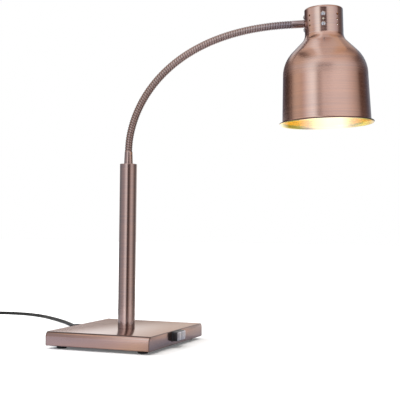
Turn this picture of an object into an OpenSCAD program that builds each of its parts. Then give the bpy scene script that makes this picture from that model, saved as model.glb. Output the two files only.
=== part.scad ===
// Food heat lamp: a weighted base with a tube column, a gooseneck arm and a bell shade over
// a reflector heat bulb. The floor is z = 0, +Z is up, +X runs from the column to the shade
// and +Y to the back. The origin lies on the floor under the middle of the lamp's outline.

/* [Base] */
// Width of the base along X
base_w = 190; // [150:1:240]
// Depth of the base along Y
base_d = 240; // [200:1:300]
// Height of the base cover, from its lower edge to its top face
base_h = 24; // [22:0.5:32]
// Thickness of the cover's sheet metal
base_sheet = 1.2; // [0.8:0.1:2]
// Outer radius of the bends along the top front and top back edges
base_bend_r = 8; // [4:0.5:10]
// Outer radius of the bends along the lower front and lower back edges
base_low_r = 3; // [2.5:0.5:5]
// Thickness of the bottom plate
bottom_t = 1.5; // [1:0.1:3]
// Height of the rubber feet
foot_h = 5; // [3:0.5:8]
// Diameter of the rubber feet
foot_d = 18; // [12:1:24]
// Distance from the base's sides to the foot centres
foot_inset = 20; // [16:1:30]
// Thickness of the ballast slab
ballast_t = 14; // [8:0.5:14]
// Strip at the base's back that the ballast slab leaves free for the wiring
wiring_strip = 54; // [52:1:80]
// Strip at the base's right side that the ballast slab leaves free for the switch
switch_strip = 34; // [32:1:60]

/* [Column] */
// Outer diameter of the column tube
column_d = 30; // [25:1:40]
// Wall of the column tube
column_wall = 1.5; // [1:0.1:2.5]
// Height of the column above the base
column_h = 286; // [150:1:400]
// Distance from the base's left side to the column's axis
column_from_left = 101; // [90:1:110]
// Distance from the base's front to the column's axis
column_from_front = 102; // [90:1:130]
// Thread diameter of the lamp pipes that join the parts
pipe_d = 10; // [8:1:12]
// Bore of the lamp pipes
pipe_bore = 7; // [5:0.5:7.5]

/* [Gooseneck] */
// Diameter over the ribs
neck_d = 13; // [11:0.5:16]
// Depth of the grooves between the ribs
neck_groove = 1.1; // [0.6:0.1:1.3]
// Bore for the lead
neck_bore = 7; // [5:0.1:7.4]
// Distance from one rib to the next
rib_pitch = 4.35; // [4:0.05:5]
// Ribs between two bending centres
link_ribs = 10; // [8:1:12]
// Bend of the first bending centre, in degrees
first_bend = 13.9; // [8:0.1:15]
// Bend of the middle bending centre, in degrees
middle_bend = 10.2; // [6:0.1:13]
// Bend of the last bending centre, in degrees
last_bend = 5; // [2:0.1:10]
// Turn of the arm's plane about the column, towards the back, in degrees
arm_turn = 11; // [0:1:30]
// Diameter of the lead inside the neck
lead_d = 6.4; // [4:0.1:6.8]

/* [Ferrules] */
// Diameter of the lower ferrule at its foot
low_ferrule_d = 15.6; // [14:0.1:20]
// Diameter of the lower ferrule at its top
low_ferrule_top_d = 13.6; // [13:0.1:16]
// Height of the lower ferrule
low_ferrule_h = 22; // [15:1:30]
// Diameter of the upper ferrule
up_ferrule_d = 13; // [12:0.1:16]
// Length of the upper ferrule
up_ferrule_l = 22; // [15:1:30]

/* [Shade] */
// Radius of the cap at the top
cap_r = 32.5; // [30:0.5:36]
// Height of the whole shade
shade_h = 195; // [170:1:230]
// Height of the shade's top above the arm's axis
cap_above = 23.5; // [23:0.5:32]
// Length of the straight cap wall, from the top
cap_wall_h = 43; // [38:0.5:60]
// Radius of the hollow curve under the cap
waist_r = 20; // [8:0.5:26]
// Radius of the shoulder curve
shoulder_r = 57; // [30:1:60]
// Radius of the bell just under the shoulder
bell_r = 71.5; // [69:0.5:80]
// Radius of the bell above the rim
mouth_r = 74.5; // [72:0.5:84]
// Radius of the flared rim
rim_r = 79.5; // [77:0.5:92]
// Thickness of the shade's sheet metal
shade_t = 1.2; // [0.8:0.1:1.6]
// Radius of the cap's top edge
cap_edge_r = 3; // [1.5:0.5:5]
// Diameter of the vent holes
vent_d = 3.8; // [2:0.1:5]
// Distance between the vent holes in a column
vent_gap = 8.5; // [8:0.5:11]
// Distance from the arm's axis to each arm plate screw
arm_screw_off = 11; // [10:0.5:13]

/* [Lampholder and bulb] */
// Diameter of the ceramic lampholder
holder_d = 42; // [38:1:44]
// Height of the ceramic lampholder
holder_h = 52; // [46:1:60]
// Diameter of the bulb's screw cap
bulb_cap_d = 26; // [25.5:0.1:26.4]
// Overall length of the bulb
bulb_l = 136; // [120:1:140]
// Diameter of the bulb's rim
bulb_d = 122; // [110:1:124]
// Thickness of the bulb's glass
glass_t = 2.5; // [2:0.1:4]

/* [Switch] */
// Length of the switch along Y
switch_l = 41; // [36:0.5:48]
// Height of the switch frame
switch_h = 17.4; // [16:0.1:18]
// How far the rubber boot stands out of the base
switch_out = 10; // [9:0.5:14]
// Distance from the column's axis to the switch's middle, towards the back
switch_back = 12.5; // [0:0.5:30]
// Tilt of the rocker to either side, in degrees
rocker_tilt = 10; // [6:1:12]

/* [Screws] */
// Thread diameter of the small screws
screw_d = 4; // [3:0.5:4]
// Diameter of a dome head
screw_head_d = 8; // [6:0.1:8]
// Height of a dome head
screw_head_h = 2.4; // [1.5:0.1:3]

/* [Cord] */
// Diameter of the mains cord
cord_d = 7; // [6:0.5:8]
// Height of the cord's exit above the floor
cord_exit_z = 15; // [13:0.5:17]
// Distance from the base's back to the cord's exit
cord_exit_in = 30; // [26:1:34]
// Length of the tapered strain relief outside the base
relief_l = 36; // [20:1:40]

/* [Hidden] */
$fn = 64;

fit = 0.05;            // play of parts that slip together in one body
clear = 0.3;           // gap between parts that move past each other
eps = 0.01;

copper = [0.60, 0.42, 0.34];
bright_copper = [0.72, 0.52, 0.43];
steel = [0.72, 0.73, 0.75];
dark = [0.10, 0.10, 0.11];
brass = [0.80, 0.65, 0.35];

// The column's axis in the part's frame, and the base round it
column_x = -140;
column_y = -22;
base_x0 = column_x - column_from_left;
base_x1 = base_x0 + base_w;
base_y0 = column_y - column_from_front;
base_y1 = base_y0 + base_d;
base_z0 = foot_h;
base_z1 = base_z0 + base_h;
floor_z = base_z0 + bottom_t;             // top face of the bottom plate
roof_z = base_z1 - base_sheet;            // underside of the cover's top
foot_xs = [base_x0 + foot_inset, base_x1 - foot_inset];
foot_ys = [base_y0 + foot_inset, base_y1 - foot_inset];
post_d = 10;
pipe_r = pipe_d / 2;
column_top = base_z1 + column_h;
column_bore_r = column_d / 2 - column_wall;

module at_column() {
    translate([column_x, column_y, 0]) children();
}

module at_feet() {
    for (x = foot_xs, y = foot_ys) translate([x, y, 0]) children();
}

// A ring or tube: outer radius, bore radius, height
module ring(r, bore, h) {
    difference() {
        cylinder(r = r, h = h);
        translate([0, 0, -eps]) cylinder(r = bore, h = h + 2 * eps);
    }
}

// Direction of a line of points at point i
function along(p, i) = let (
    a = p[max(0, i - 1)], b = p[min(len(p) - 1, i + 1)]) (b - a) / norm(b - a);

// Ring of points round point i, square to t. The line never runs along ref.
function ring_at(p, i, r, sides, t, ref) = let (
    side = cross(t, ref) / norm(cross(t, ref)), up = cross(side, t))
    [for (k = [0 : sides - 1]) let (a = 360 * (k + 0.5) / sides)
        p[i] + r * (cos(a) * side + sin(a) * up)];

// A tube of triangles along a line of points, with the given directions at its ends
module tube(p, r, sides, first_dir, last_dir, ref = [0, 0, 1]) {
    n = len(p);
    rings = [for (i = [0 : n - 1]) ring_at(p, i, r, sides,
        i == 0 ? first_dir : i == n - 1 ? last_dir : along(p, i), ref)];
    points = [for (i = [0 : n - 1]) each rings[i]];
    walls = [for (i = [0 : n - 2], k = [0 : sides - 1]) let (
        a = i * sides + k, b = i * sides + (k + 1) % sides)
        each [[a, b, b + sides], [a, b + sides, a + sides]]];
    caps = [for (k = [1 : sides - 2]) each [
        [0, k + 1, k], [(n - 1) * sides, (n - 1) * sides + k, (n - 1) * sides + k + 1]]];
    polyhedron(points = points, faces = concat(walls, caps), convexity = 10);
}

// A thin lead through points, with its corners cut back
module lead(p, ref = [0, 0, 1]) {
    back = 1.2;
    n = len(p);
    q = concat([p[0]], [for (i = [1 : n - 2]) let (
        a = (p[i - 1] - p[i]) / norm(p[i - 1] - p[i]), b = (p[i + 1] - p[i]) / norm(p[i + 1] - p[i]))
        each [p[i] + back * a, p[i] + back * b]], [p[n - 1]]);
    tube(q, lead_r, 6, along(q, 0), along(q, len(q) - 1), ref);
}

// A hexagon nut with flats towards X: width across the flats, bore radius, height
module hex_nut(af, bore, h) {
    difference() {
        rotate([0, 0, 30]) cylinder(d = af / cos(30), h = h, $fn = 6);
        translate([0, 0, -eps]) cylinder(r = bore, h = h + 2 * eps, $fn = 48);
    }
}

// A rectangle with rounded corners, centred
module round_rect(w, d, r) {
    square([w - 2 * r, d], center = true);
    square([w, d - 2 * r], center = true);
    for (x = [-1, 1], y = [-1, 1])
        translate([x * (w / 2 - r), y * (d / 2 - r)]) circle(r = r);
}

// Base

// Outline of the base seen from the side: depth along X, height along Y, inset by a wall
module cover_outline(inset) {
    w = base_d - 2 * inset;
    translate([inset, base_low_r]) square([w, base_h - base_low_r - base_bend_r]);
    translate([base_low_r, inset]) square([base_d - 2 * base_low_r, base_low_r]);
    translate([base_bend_r, inset]) square([base_d - 2 * base_bend_r, base_h - 2 * inset]);
    for (x = [base_low_r, base_d - base_low_r])
        translate([x, base_low_r]) circle(r = base_low_r - inset);
    for (x = [base_bend_r, base_d - base_bend_r])
        translate([x, base_h - base_bend_r]) circle(r = base_bend_r - inset);
}

// Stands an outline up across the base, with its thickness along X
module across_base(x, t) {
    translate([x, base_y0, base_z0]) rotate([90, 0, 90]) linear_extrude(t) children();
}

module base_cover() {
    color(copper) difference() {
        across_base(base_x0 + base_sheet, base_w - 2 * base_sheet) difference() {
            cover_outline(0);
            cover_outline(base_sheet);
            translate([base_low_r, -1]) square([base_d - 2 * base_low_r, base_sheet + 2]);
        }
        at_column() translate([0, 0, roof_z - 1])
            cylinder(r = pipe_r + clear, h = base_sheet + 2);
    }
}

module left_end_plate() {
    color(copper) difference() {
        across_base(base_x0, base_sheet) cover_outline(0);
        translate([base_x0 - 1, cord_exit_y, cord_exit_z]) rotate([0, 90, 0])
            cylinder(r = relief_neck_r + fit, h = base_sheet + 2);
    }
}

module right_end_plate() {
    color(copper) difference() {
        across_base(base_x1 - base_sheet, base_sheet) cover_outline(0);
        at_switch() translate([-base_sheet - 1, -switch_body_l / 2 - fit, -switch_body_h / 2 - fit])
            cube([base_sheet + 2, switch_body_l + 2 * fit, switch_body_h + 2 * fit]);
    }
}

module bottom_plate() {
    side = base_sheet + clear;
    end = base_low_r + clear;
    color(steel) difference() {
        translate([base_x0 + side, base_y0 + end, base_z0])
            cube([base_w - 2 * side, base_d - 2 * end, bottom_t]);
        at_feet() translate([0, 0, base_z0 - 1])
            cylinder(r = screw_d / 2 + clear, h = bottom_t + 2);
    }
}

ballast_x0 = base_x0 + base_sheet + 2.8;
ballast_y0 = foot_ys[0] + post_d / 2 + 1;
ballast_w = base_x1 - switch_strip - ballast_x0;
ballast_d = base_y1 - wiring_strip - ballast_y0;
ballast_z0 = roof_z - ballast_t;
pocket_d = 36;             // room for the column's nut in the slab's underside
pocket_h = 5;

module ballast_slab() {
    color([0.25, 0.25, 0.26]) difference() {
        translate([ballast_x0, ballast_y0, ballast_z0]) cube([ballast_w, ballast_d, ballast_t]);
        at_column() translate([0, 0, ballast_z0 - 1])
            cylinder(r = pipe_r + clear, h = ballast_t + 2);
        at_column() translate([0, 0, ballast_z0 - 1]) cylinder(d = pocket_d, h = pocket_h + 1);
    }
}

foot_recess_h = foot_h - 1.8;
foot_screw_l = 14;

module rubber_feet() {
    color(dark) at_feet() difference() {
        cylinder(d1 = foot_d - 1.5, d2 = foot_d, h = foot_h);
        translate([0, 0, -eps]) cylinder(r = screw_head_d / 2 + 1, h = foot_recess_h + eps);
        cylinder(r = screw_d / 2 + clear, h = foot_h + 1);
    }
}

// A dome-head screw with its head below z = 0 and its shank up to length l
module dome_screw(l) {
    dome_r = (screw_head_d * screw_head_d / 4 + screw_head_h * screw_head_h) / (2 * screw_head_h);
    difference() {
        union() {
            translate([0, 0, -screw_head_h]) intersection() {
                translate([0, 0, dome_r]) sphere(r = dome_r);
                cylinder(d = screw_head_d, h = screw_head_h);
            }
            translate([0, 0, -eps]) cylinder(d = screw_d, h = l + eps);
        }
        // Cross recess
        for (a = [0, 90]) rotate([0, 0, a])
            translate([-screw_head_d * 0.3, -0.5, -screw_head_h - 1])
                cube([screw_head_d * 0.6, 1, 2]);
    }
}

module foot_screws() {
    color(steel) at_feet() translate([0, 0, foot_recess_h]) dome_screw(foot_screw_l);
}

module foot_posts() {
    color(steel) at_feet() translate([0, 0, floor_z])
        ring(post_d / 2, screw_d / 2 + fit, roof_z - floor_z);
}

// Cord entry at the base's left end
cord_exit_y = base_y1 - cord_exit_in;
relief_neck_r = cord_d / 2 + 2.5;
relief_flange_r = cord_d / 2 + 4.5;
relief_tip_r = cord_d / 2 + 0.9;
relief_inside = 4;

// Along -X from the end plate's outer face, with z = 0 on the face
module at_relief() {
    translate([base_x0, cord_exit_y, cord_exit_z]) rotate([0, -90, 0]) children();
}

module strain_relief() {
    color(dark) at_relief() difference() {
        union() {
            translate([0, 0, -base_sheet - relief_inside])
                cylinder(r = relief_flange_r, h = relief_inside);
            translate([0, 0, -base_sheet - eps]) cylinder(r = relief_neck_r, h = base_sheet + 2 * eps);
            cylinder(r = relief_flange_r, h = 2.5);
            cylinder(r1 = relief_neck_r, r2 = relief_tip_r, h = relief_l);
        }
        translate([0, 0, -20]) cylinder(r = cord_d / 2 + fit, h = relief_l + 40);
        // Grooves that let the tail bend
        for (i = [1 : 5]) translate([0, 0, 3 + i * (relief_l - 6) / 6])
            ring(relief_flange_r + 1, relief_tip_r - 0.2, 1.6);
    }
}

cord_inner_l = 45;         // cord inside the base
clamp_x = base_x0 + cord_inner_l - 10;

module cord_inner() {
    color(dark) at_relief() translate([0, 0, -cord_inner_l])
        cylinder(r = cord_d / 2, h = cord_inner_l + relief_l);
}

module cord_clamp() {
    w = 8;
    d = cord_d + 5;
    color([0.85, 0.85, 0.82]) difference() {
        translate([clamp_x - w / 2, cord_exit_y - d / 2, floor_z])
            cube([w, d, cord_exit_z + cord_d / 2 + 2 - floor_z]);
        translate([clamp_x - w, cord_exit_y, cord_exit_z]) rotate([0, 90, 0])
            cylinder(r = cord_d / 2 + fit, h = 2 * w);
    }
}

block_x = column_x - 20;
block_y = base_y1 - 45;
block_w = 40;
block_d = 15;
block_h = 14;
block_poles = [-12, 0, 12];
lead_r = 1.1;
lead_side = lead_r + 0.05;         // two leads lie side by side in a pole
lead_z = floor_z + 4;

module terminal_block() {
    color([0.93, 0.92, 0.88]) difference() {
        translate([block_x - block_w / 2, block_y - block_d / 2, floor_z])
            cube([block_w, block_d, block_h]);
        for (x = block_poles) translate([block_x + x, block_y, 0]) {
            translate([0, block_d, lead_z]) rotate([90, 0, 0])
                cylinder(r = 2 * lead_side + fit, h = 2 * block_d, $fn = 32);
            translate([0, 0, floor_z + 8]) cylinder(r = 2, h = block_h);
        }
    }
}

earth_x = base_x1 - 30;
earth_y = block_y;
earth_nut_h = 3.2;

module earth_stud() {
    color(brass) translate([earth_x, earth_y, floor_z]) {
        cylinder(d = screw_d, h = 10);
        hex_nut(7, screw_d / 2, earth_nut_h);
    }
}

// Leads: cord to block, block to the column's pipe, block to switch, block to earth
module base_leads() {
    cord_end = base_x0 + cord_inner_l;
    z = lead_z;
    front = block_y - block_d / 2;
    back = block_y + block_d / 2;
    lane_gap = 3;
    color([0.55, 0.30, 0.16]) {
        for (i = [0 : 2]) {
            x = block_x + block_poles[i] - lead_side;
            off = (i - 1) * 2 * lead_side;
            y = cord_exit_y + off;
            lead([[cord_end, y, cord_exit_z], [cord_end + 2.5, y, cord_exit_z],
                [cord_end + 9, y, z + 2], [x - 3.5, y, z], [x, y - 3.5, z], [x, back - 4, z]]);
            lead([[x, front + 4, z], [x, front - 1.2, z], [x, front - 4.5, z - 2],
                [column_x + off, column_y + 18, z - 2], [column_x + off, column_y + 3, z - 2],
                [column_x + off, column_y, z + 1], [column_x + off, column_y, foot_pipe_z0 + 3]],
                [1, 0, 0]);
        }
        for (i = [1, 2]) {
            x = block_x + block_poles[i] + lead_side;
            lane = front - 1.5 - (3 - i) * lane_gap;
            end_x = switch_tab_x - 2.2 - (2 - i) * 2 * lead_side;
            y = switch_y + 9 * (i - 1);
            lead([[x, front + 4, z], [x, front - 1.2, z], [x + 3, lane, z + 0.7],
                [end_x - 15, lane, z + 0.7], [end_x, lane - 15, z + 0.7],
                [end_x, y + 8, switch_z], [end_x, y + 2, switch_z],
                [switch_tab_x - 1.3, y, switch_z], [switch_tab_x, y, switch_z]]);
        }
        earth_lead_x = block_x + block_poles[2] + lead_side;
        earth_z = floor_z + earth_nut_h + lead_r;
        lead([[earth_x - screw_d / 2, earth_y, earth_z], [earth_x - screw_d / 2 - 2.5, earth_y, earth_z],
            [earth_x - 14, back + 4, z + 0.5], [earth_lead_x + 5, back + 4, z],
            [earth_lead_x, back + 1.5, z], [earth_lead_x, back - 4, z]]);
    }
}

// Switch on the base's right end: local X points out of the plate
switch_y = column_y + switch_back;
switch_z = base_z1 - 0.6 - switch_h / 2;
switch_frame_t = 1.8;
switch_body_l = 30;
switch_body_h = 15;
switch_body_deep = 20;
rocker_half = 12.2;
rocker_h = 11.2;
rocker_pivot = -2.5;        // pivot's place along X
rocker_pin_r = 1.5;
switch_tab_l = 8;
switch_tab_x = base_x1 - switch_body_deep - switch_tab_l;

module at_switch() {
    translate([base_x1, switch_y, switch_z]) children();
}

// Turns an outline drawn in Y and Z to face X
module facing_x() {
    rotate([90, 0, 90]) children();
}

module rocker_well() {
    translate([-10, -rocker_half - 1.3, -rocker_h / 2 - clear])
        cube([20, 2 * rocker_half + 2.6, rocker_h + 2 * clear]);
}

module switch_frame() {
    color(dark) at_switch() difference() {
        facing_x() linear_extrude(switch_frame_t) round_rect(switch_l, switch_h, 2);
        rocker_well();
    }
}

module switch_body() {
    color([0.16, 0.16, 0.17]) at_switch() difference() {
        translate([-switch_body_deep, -switch_body_l / 2, -switch_body_h / 2])
            cube([switch_body_deep, switch_body_l, switch_body_h]);
        rocker_well();
        translate([rocker_pivot, 0, -switch_body_h / 2 + 0.6])
            cylinder(r = rocker_pin_r + fit, h = switch_body_h - 1.2, $fn = 32);
    }
}

// The rocker lies pressed at its front end, with its back end raised
module switch_rocker() {
    rise = 1.0;
    wing = rise + rocker_half * tan(rocker_tilt);
    pin_h = switch_body_h - 1.2 - 2 * fit;
    color([0.13, 0.13, 0.14]) at_switch() translate([rocker_pivot, 0, 0]) rotate([0, 0, -rocker_tilt]) {
        translate([-rocker_pivot, 0, -rocker_h / 2]) linear_extrude(rocker_h)
            polygon([[-6, -rocker_half + 3], [-6, rocker_half - 3], [-3, rocker_half],
                [wing, rocker_half], [rise, 0], [wing, -rocker_half], [-3, -rocker_half]]);
        translate([0, 0, -pin_h / 2]) cylinder(r = rocker_pin_r, h = pin_h, $fn = 32);
    }
}

module switch_tabs() {
    color(brass) at_switch() for (y = [-9, 0, 9])
        translate([-switch_body_deep - switch_tab_l, y - 3.15, -0.4])
            cube([switch_tab_l, 6.3, 0.8]);
}

boot_wall = 0.9;

module switch_boot() {
    l = switch_l - 3;
    h = switch_h - 1.6;
    tall = switch_out - switch_frame_t;
    color([0.8, 0.82, 0.85, 0.45]) at_switch() translate([switch_frame_t, 0, 0]) difference() {
        facing_x() union() {
            linear_extrude(tall - 1.5) round_rect(l, h, 2.5);
            linear_extrude(tall) round_rect(l - 3, h - 3, 1.8);
        }
        translate([-eps, 0, 0]) facing_x()
            linear_extrude(tall - boot_wall) round_rect(l - 2 * boot_wall - 2, h - 2 * boot_wall - 1.5, 1);
    }
}

// Column

plug_h = 16;
foot_nut_h = 5;
foot_washer_t = 1.5;
foot_washer_z = ballast_z0 + pocket_h - foot_washer_t;
foot_pipe_z0 = foot_washer_z - foot_nut_h;

module column_tube() {
    color(copper) at_column() translate([0, 0, base_z1]) ring(column_d / 2, column_bore_r, column_h);
}

module foot_plug() {
    color(steel) at_column() translate([0, 0, base_z1]) ring(column_bore_r, pipe_r + fit, plug_h);
}

module foot_pipe() {
    color(steel) at_column() translate([0, 0, foot_pipe_z0])
        ring(pipe_r, pipe_bore / 2, base_z1 + plug_h - 2 - foot_pipe_z0);
}

module foot_washer() {
    color(steel) at_column() translate([0, 0, foot_washer_z])
        ring(14, pipe_r + clear, foot_washer_t);
}

module foot_nut() {
    color(steel) at_column() translate([0, 0, foot_pipe_z0]) hex_nut(17, pipe_r + fit, foot_nut_h);
}

cap_h = 12;                // height of the plug that closes the column's top
low_stub_l = 9;
low_socket = low_ferrule_h - 8;    // how deep the neck's end sits in the ferrule
up_socket = up_ferrule_l - 8;

module column_lead() {
    color([0.85, 0.84, 0.80]) at_column() translate([0, 0, foot_pipe_z0 + 3])
        cylinder(d = lead_d, h = column_top + low_ferrule_h - low_socket - foot_pipe_z0 - 3);
}

module column_cap() {
    color(copper) at_column() translate([0, 0, column_top - cap_h])
        ring(column_bore_r, pipe_r + fit, cap_h);
}

module lower_ferrule() {
    socket = low_socket + 2;
    color(copper) at_column() translate([0, 0, column_top]) difference() {
        union() {
            cylinder(d1 = low_ferrule_d, d2 = low_ferrule_top_d, h = low_ferrule_h);
            translate([0, 0, -low_stub_l]) cylinder(r = pipe_r, h = low_stub_l + eps);
        }
        translate([0, 0, -low_stub_l - 1]) cylinder(d = neck_bore, h = low_ferrule_h + low_stub_l + 2);
        translate([0, 0, low_ferrule_h - socket]) cylinder(r = neck_root_r + fit, h = socket + 1);
    }
}

// Gooseneck

hinges = 9;
neck_root_r = neck_d / 2 - neck_groove;
link_l = link_ribs * rib_pitch;
first_l = 4.5 * rib_pitch;         // lower ferrule to the first bending centre
last_l = 6.5 * rib_pitch;          // last bending centre to the upper ferrule
ball_r = neck_d / 2 - 0.5;
socket_r = ball_r + clear;
first_rib = 2.55;                  // first rib of a link above its bending centre
last_rib = rib_pitch - first_rib;  // last rib of a link below the next one
link_lip = 2.2;                    // lower edge of a link above its bending centre

middle = (hinges + 1) / 2;
// The bends change evenly from the first to the middle centre, and again from there to the last
function bend(i) = lookup(i, [[1, first_bend], [middle, middle_bend], [hinges, last_bend]]);
function lean(i) = i <= 0 ? 0 : lean(i - 1) + bend(i);
// Bending centre i in the arm's plane: distance from the column's axis, and height
function centre(i) = i <= 1
    ? [0, column_top + low_ferrule_h + first_l]
    : centre(i - 1) + link_l * [sin(lean(i - 1)), cos(lean(i - 1))];

// From a bending centre, with Z along the link that starts there
module at_link(i) {
    at_column() rotate([0, 0, arm_turn]) translate([centre(i)[0], 0, centre(i)[1]])
        rotate([0, lean(i), 0]) children();
}

// Half section of a stretch of neck: ribs from z0 to z1, radius along X and height along Y
module neck_section(z0, z1, ribs_from) {
    ribs = [for (z = ribs_from; z < z1 - 1; z = z + rib_pitch) z];
    outline = concat(
        [[neck_bore / 2, z0], [neck_root_r, z0]],
        [for (z = ribs) each [
            [neck_root_r, max(z0 + eps, z - rib_pitch / 2)],
            [neck_d / 2, max(z0 + 2 * eps, z)]]],
        [[neck_root_r, z1], [neck_bore / 2, z1]]);
    polygon(outline);
}

// The ball that ends a link at its upper bending centre, in half section
module ball_section() {
    intersection() {
        circle(r = ball_r);
        translate([neck_bore / 2, -1]) square([ball_r, ball_r + 1]);
    }
}

// A link with its ball at height l, and with a socket at z = 0 unless it is the first
module neck_link(z0, l, ribs_from, socket, ball) {
    lead_r = lead_d / 2;
    rotate_extrude() difference() {
        union() {
            neck_section(z0, l - (ball ? 1 : 0), ribs_from);
            if (ball) translate([0, l]) ball_section();
        }
        if (socket) circle(r = socket_r);
        if (socket) translate([-1, -10]) square([neck_d, 10 + link_lip]);
    }
    // The stretch of lead that runs in this link
    rotate_extrude() difference() {
        square([lead_r, l + (ball ? sqrt(ball_r * ball_r - lead_r * lead_r) : 0)]);
        if (socket) circle(r = socket_r);
        if (!socket) translate([-1, -1]) square([lead_r + 2, 1]);
    }
}

module gooseneck_1() {
    color(copper) at_column() translate([0, 0, column_top + low_ferrule_h]) {
        neck_link(0, first_l, first_l - last_rib - 4 * rib_pitch, false, true);
        translate([0, 0, -low_socket]) ring(neck_root_r, neck_bore / 2, low_socket + eps);
        translate([0, 0, -low_socket]) cylinder(d = lead_d, h = low_socket + eps);
    }
}

module neck_middle(i) {
    color(copper) at_link(i) neck_link(0, link_l, first_rib, true, true);
}

module gooseneck_2() { neck_middle(1); }
module gooseneck_3() { neck_middle(2); }
module gooseneck_4() { neck_middle(3); }
module gooseneck_5() { neck_middle(4); }
module gooseneck_6() { neck_middle(5); }
module gooseneck_7() { neck_middle(6); }
module gooseneck_8() { neck_middle(7); }
module gooseneck_9() { neck_middle(8); }

module gooseneck_10() {
    color(copper) at_link(hinges) {
        neck_link(0, last_l, first_rib, true, false);
        translate([0, 0, last_l - eps]) ring(neck_root_r, neck_bore / 2, up_socket + eps);
        translate([0, 0, last_l - eps])
            cylinder(d = lead_d, h = up_ferrule_l + up_stub_l - lead_short + eps);
    }
}

arm_plate_t = 1.5;
up_stub_l = shade_t + arm_plate_t + 4.9;
lead_short = 4;                    // from the lead's end to the pipe's end

module upper_ferrule() {
    socket = up_socket + 2;
    color(copper) at_link(hinges) translate([0, 0, last_l]) difference() {
        union() {
            cylinder(d = up_ferrule_d, h = up_ferrule_l);
            translate([0, 0, up_ferrule_l - eps]) cylinder(r = pipe_r, h = up_stub_l);
        }
        translate([0, 0, -1]) cylinder(d = neck_bore, h = up_ferrule_l + up_stub_l + 2);
        translate([0, 0, -1]) cylinder(r = neck_root_r + fit, h = socket + 1);
    }
}

// Head: the origin is where the arm's axis meets the shade's axis, Z points up along the
// shade and X away from the column

module at_shade() {
    at_link(hinges) translate([0, 0, last_l + up_ferrule_l + fit + cap_r]) rotate([0, -90, 0])
        children();
}

// Points along an arc: centre, radius, first and last angle, steps
function arc(c, r, a0, a1, n) =
    [for (i = [0 : n]) let (a = a0 + (a1 - a0) * i / n) c + r * [cos(a), sin(a)]];

rim_z = cap_above - shade_h;
flare_r = rim_r - mouth_r;                 // radius of the rim's outward curve
waist_z = cap_above - cap_wall_h;
bell_h = 75;                               // from the shoulder to the rim's curve
bell_taper = atan((mouth_r - bell_r) / bell_h);
shoulder_x = bell_r - shoulder_r;
// The straight flank lies at 45 degrees between the waist curve and the shoulder curve
flank_x = cap_r + waist_r * (1 - cos(45));
flank_z = waist_z - waist_r * sin(45);
shoulder_z = flank_z - (shoulder_x + shoulder_r * cos(45) - flank_x) - shoulder_r * sin(45);
lip_angle = 80;                            // how far the rim turns outwards
bead_r = 1.1;
bead_sink = 0.2;

// The shade's wall line from the top to the rim, moved inwards by d
function shade_line(d) = concat(
    [[0, cap_above - d]],
    arc([cap_r - cap_edge_r, cap_above - cap_edge_r], cap_edge_r - d, 90, 0, 6),
    arc([cap_r + waist_r, waist_z], waist_r + d, 180, 225, 6),
    arc([shoulder_x, shoulder_z], shoulder_r - d, 45, bell_taper, 10),
    arc([mouth_r + flare_r, rim_z + flare_r], flare_r + d, 180, 180 + lip_angle, 8));

module shade_shell() {
    outer = shade_line(0);
    inner = shade_line(shade_t);
    n = len(inner);
    rotate_extrude($fn = 96) polygon(concat(outer, [for (i = [0 : n - 1]) inner[n - 1 - i]]));
    // Rolled edge of the rim
    rotate_extrude($fn = 96) translate(outer[n - 1] + [0, bead_r - bead_sink]) circle(r = bead_r, $fn = 24);
}

// The eight columns of holes stand 45 degrees apart. The arm and its two screws take one,
// and two screws and a vent take the front and the back one.
bracket_sides = [-90, 90];
vent_sides = [-135, -45, 0, 45, 135];
vent_rows = [-vent_gap, 0, vent_gap];

// A hole through the cap's wall at an angle and a height
module cap_hole(angle, z, d) {
    rotate([0, 0, angle]) translate([cap_r - 6, 0, z]) rotate([0, 90, 0])
        cylinder(d = d, h = 10, $fn = 32);
}

module shade() {
    color(bright_copper) at_shade() difference() {
        shade_shell();
        for (a = vent_sides, z = vent_rows) cap_hole(a, z, vent_d);
        for (a = bracket_sides) {
            cap_hole(a, 0, vent_d);
            for (z = [-vent_gap, vent_gap]) cap_hole(a, z, screw_d + 2 * fit);
        }
        for (z = [-arm_screw_off, arm_screw_off]) cap_hole(180, z, screw_d + 2 * fit);
        cap_hole(180, 0, pipe_d + 2 * fit);
    }
}

cap_bore_r = cap_r - shade_t;
screw_l = 8;

module arm_plate() {
    w = 18;
    h = 2 * arm_screw_off + 10;
    color(steel) at_shade() difference() {
        intersection() {
            translate([0, 0, -h / 2]) ring(cap_bore_r, plate_in_r, h);
            translate([-cap_r, -w / 2, -h]) cube([cap_r, w, 2 * h]);
        }
        for (z = [-arm_screw_off, arm_screw_off]) cap_hole(180, z, screw_d + 2 * fit);
        cap_hole(180, 0, pipe_d + 2 * fit);
    }
}

plate_in_r = cap_bore_r - arm_plate_t;
arm_nut_af = 14;

// Distance from the shade's axis at which a flat of this width meets the plate's hollow face
function plate_seat(w) = sqrt(plate_in_r * plate_in_r - w * w / 4);

module arm_nut() {
    color(steel) at_shade() translate([-plate_seat(arm_nut_af / cos(30)), 0, 0]) rotate([0, 90, 0])
        hex_nut(arm_nut_af, pipe_r + fit, 3.4);
}

// Screws at an angle on the cap, with the head outside
module cap_screw(angle, z) {
    rotate([0, 0, angle]) translate([cap_r, 0, z]) rotate([0, -90, 0]) dome_screw(screw_l);
}

module shade_screws() {
    color(steel) at_shade() {
        for (z = [-arm_screw_off, arm_screw_off]) cap_screw(180, z);
        for (a = bracket_sides, z = [-vent_gap, vent_gap]) cap_screw(a, z);
    }
}

bracket_t = 1.5;
bracket_w = 16;
tab_out = sqrt(cap_bore_r * cap_bore_r - bracket_w * bracket_w / 4) - 0.1;
web_z = cap_above - shade_t - 5;
nut_af = 7;
nut_h = 3.2;

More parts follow.
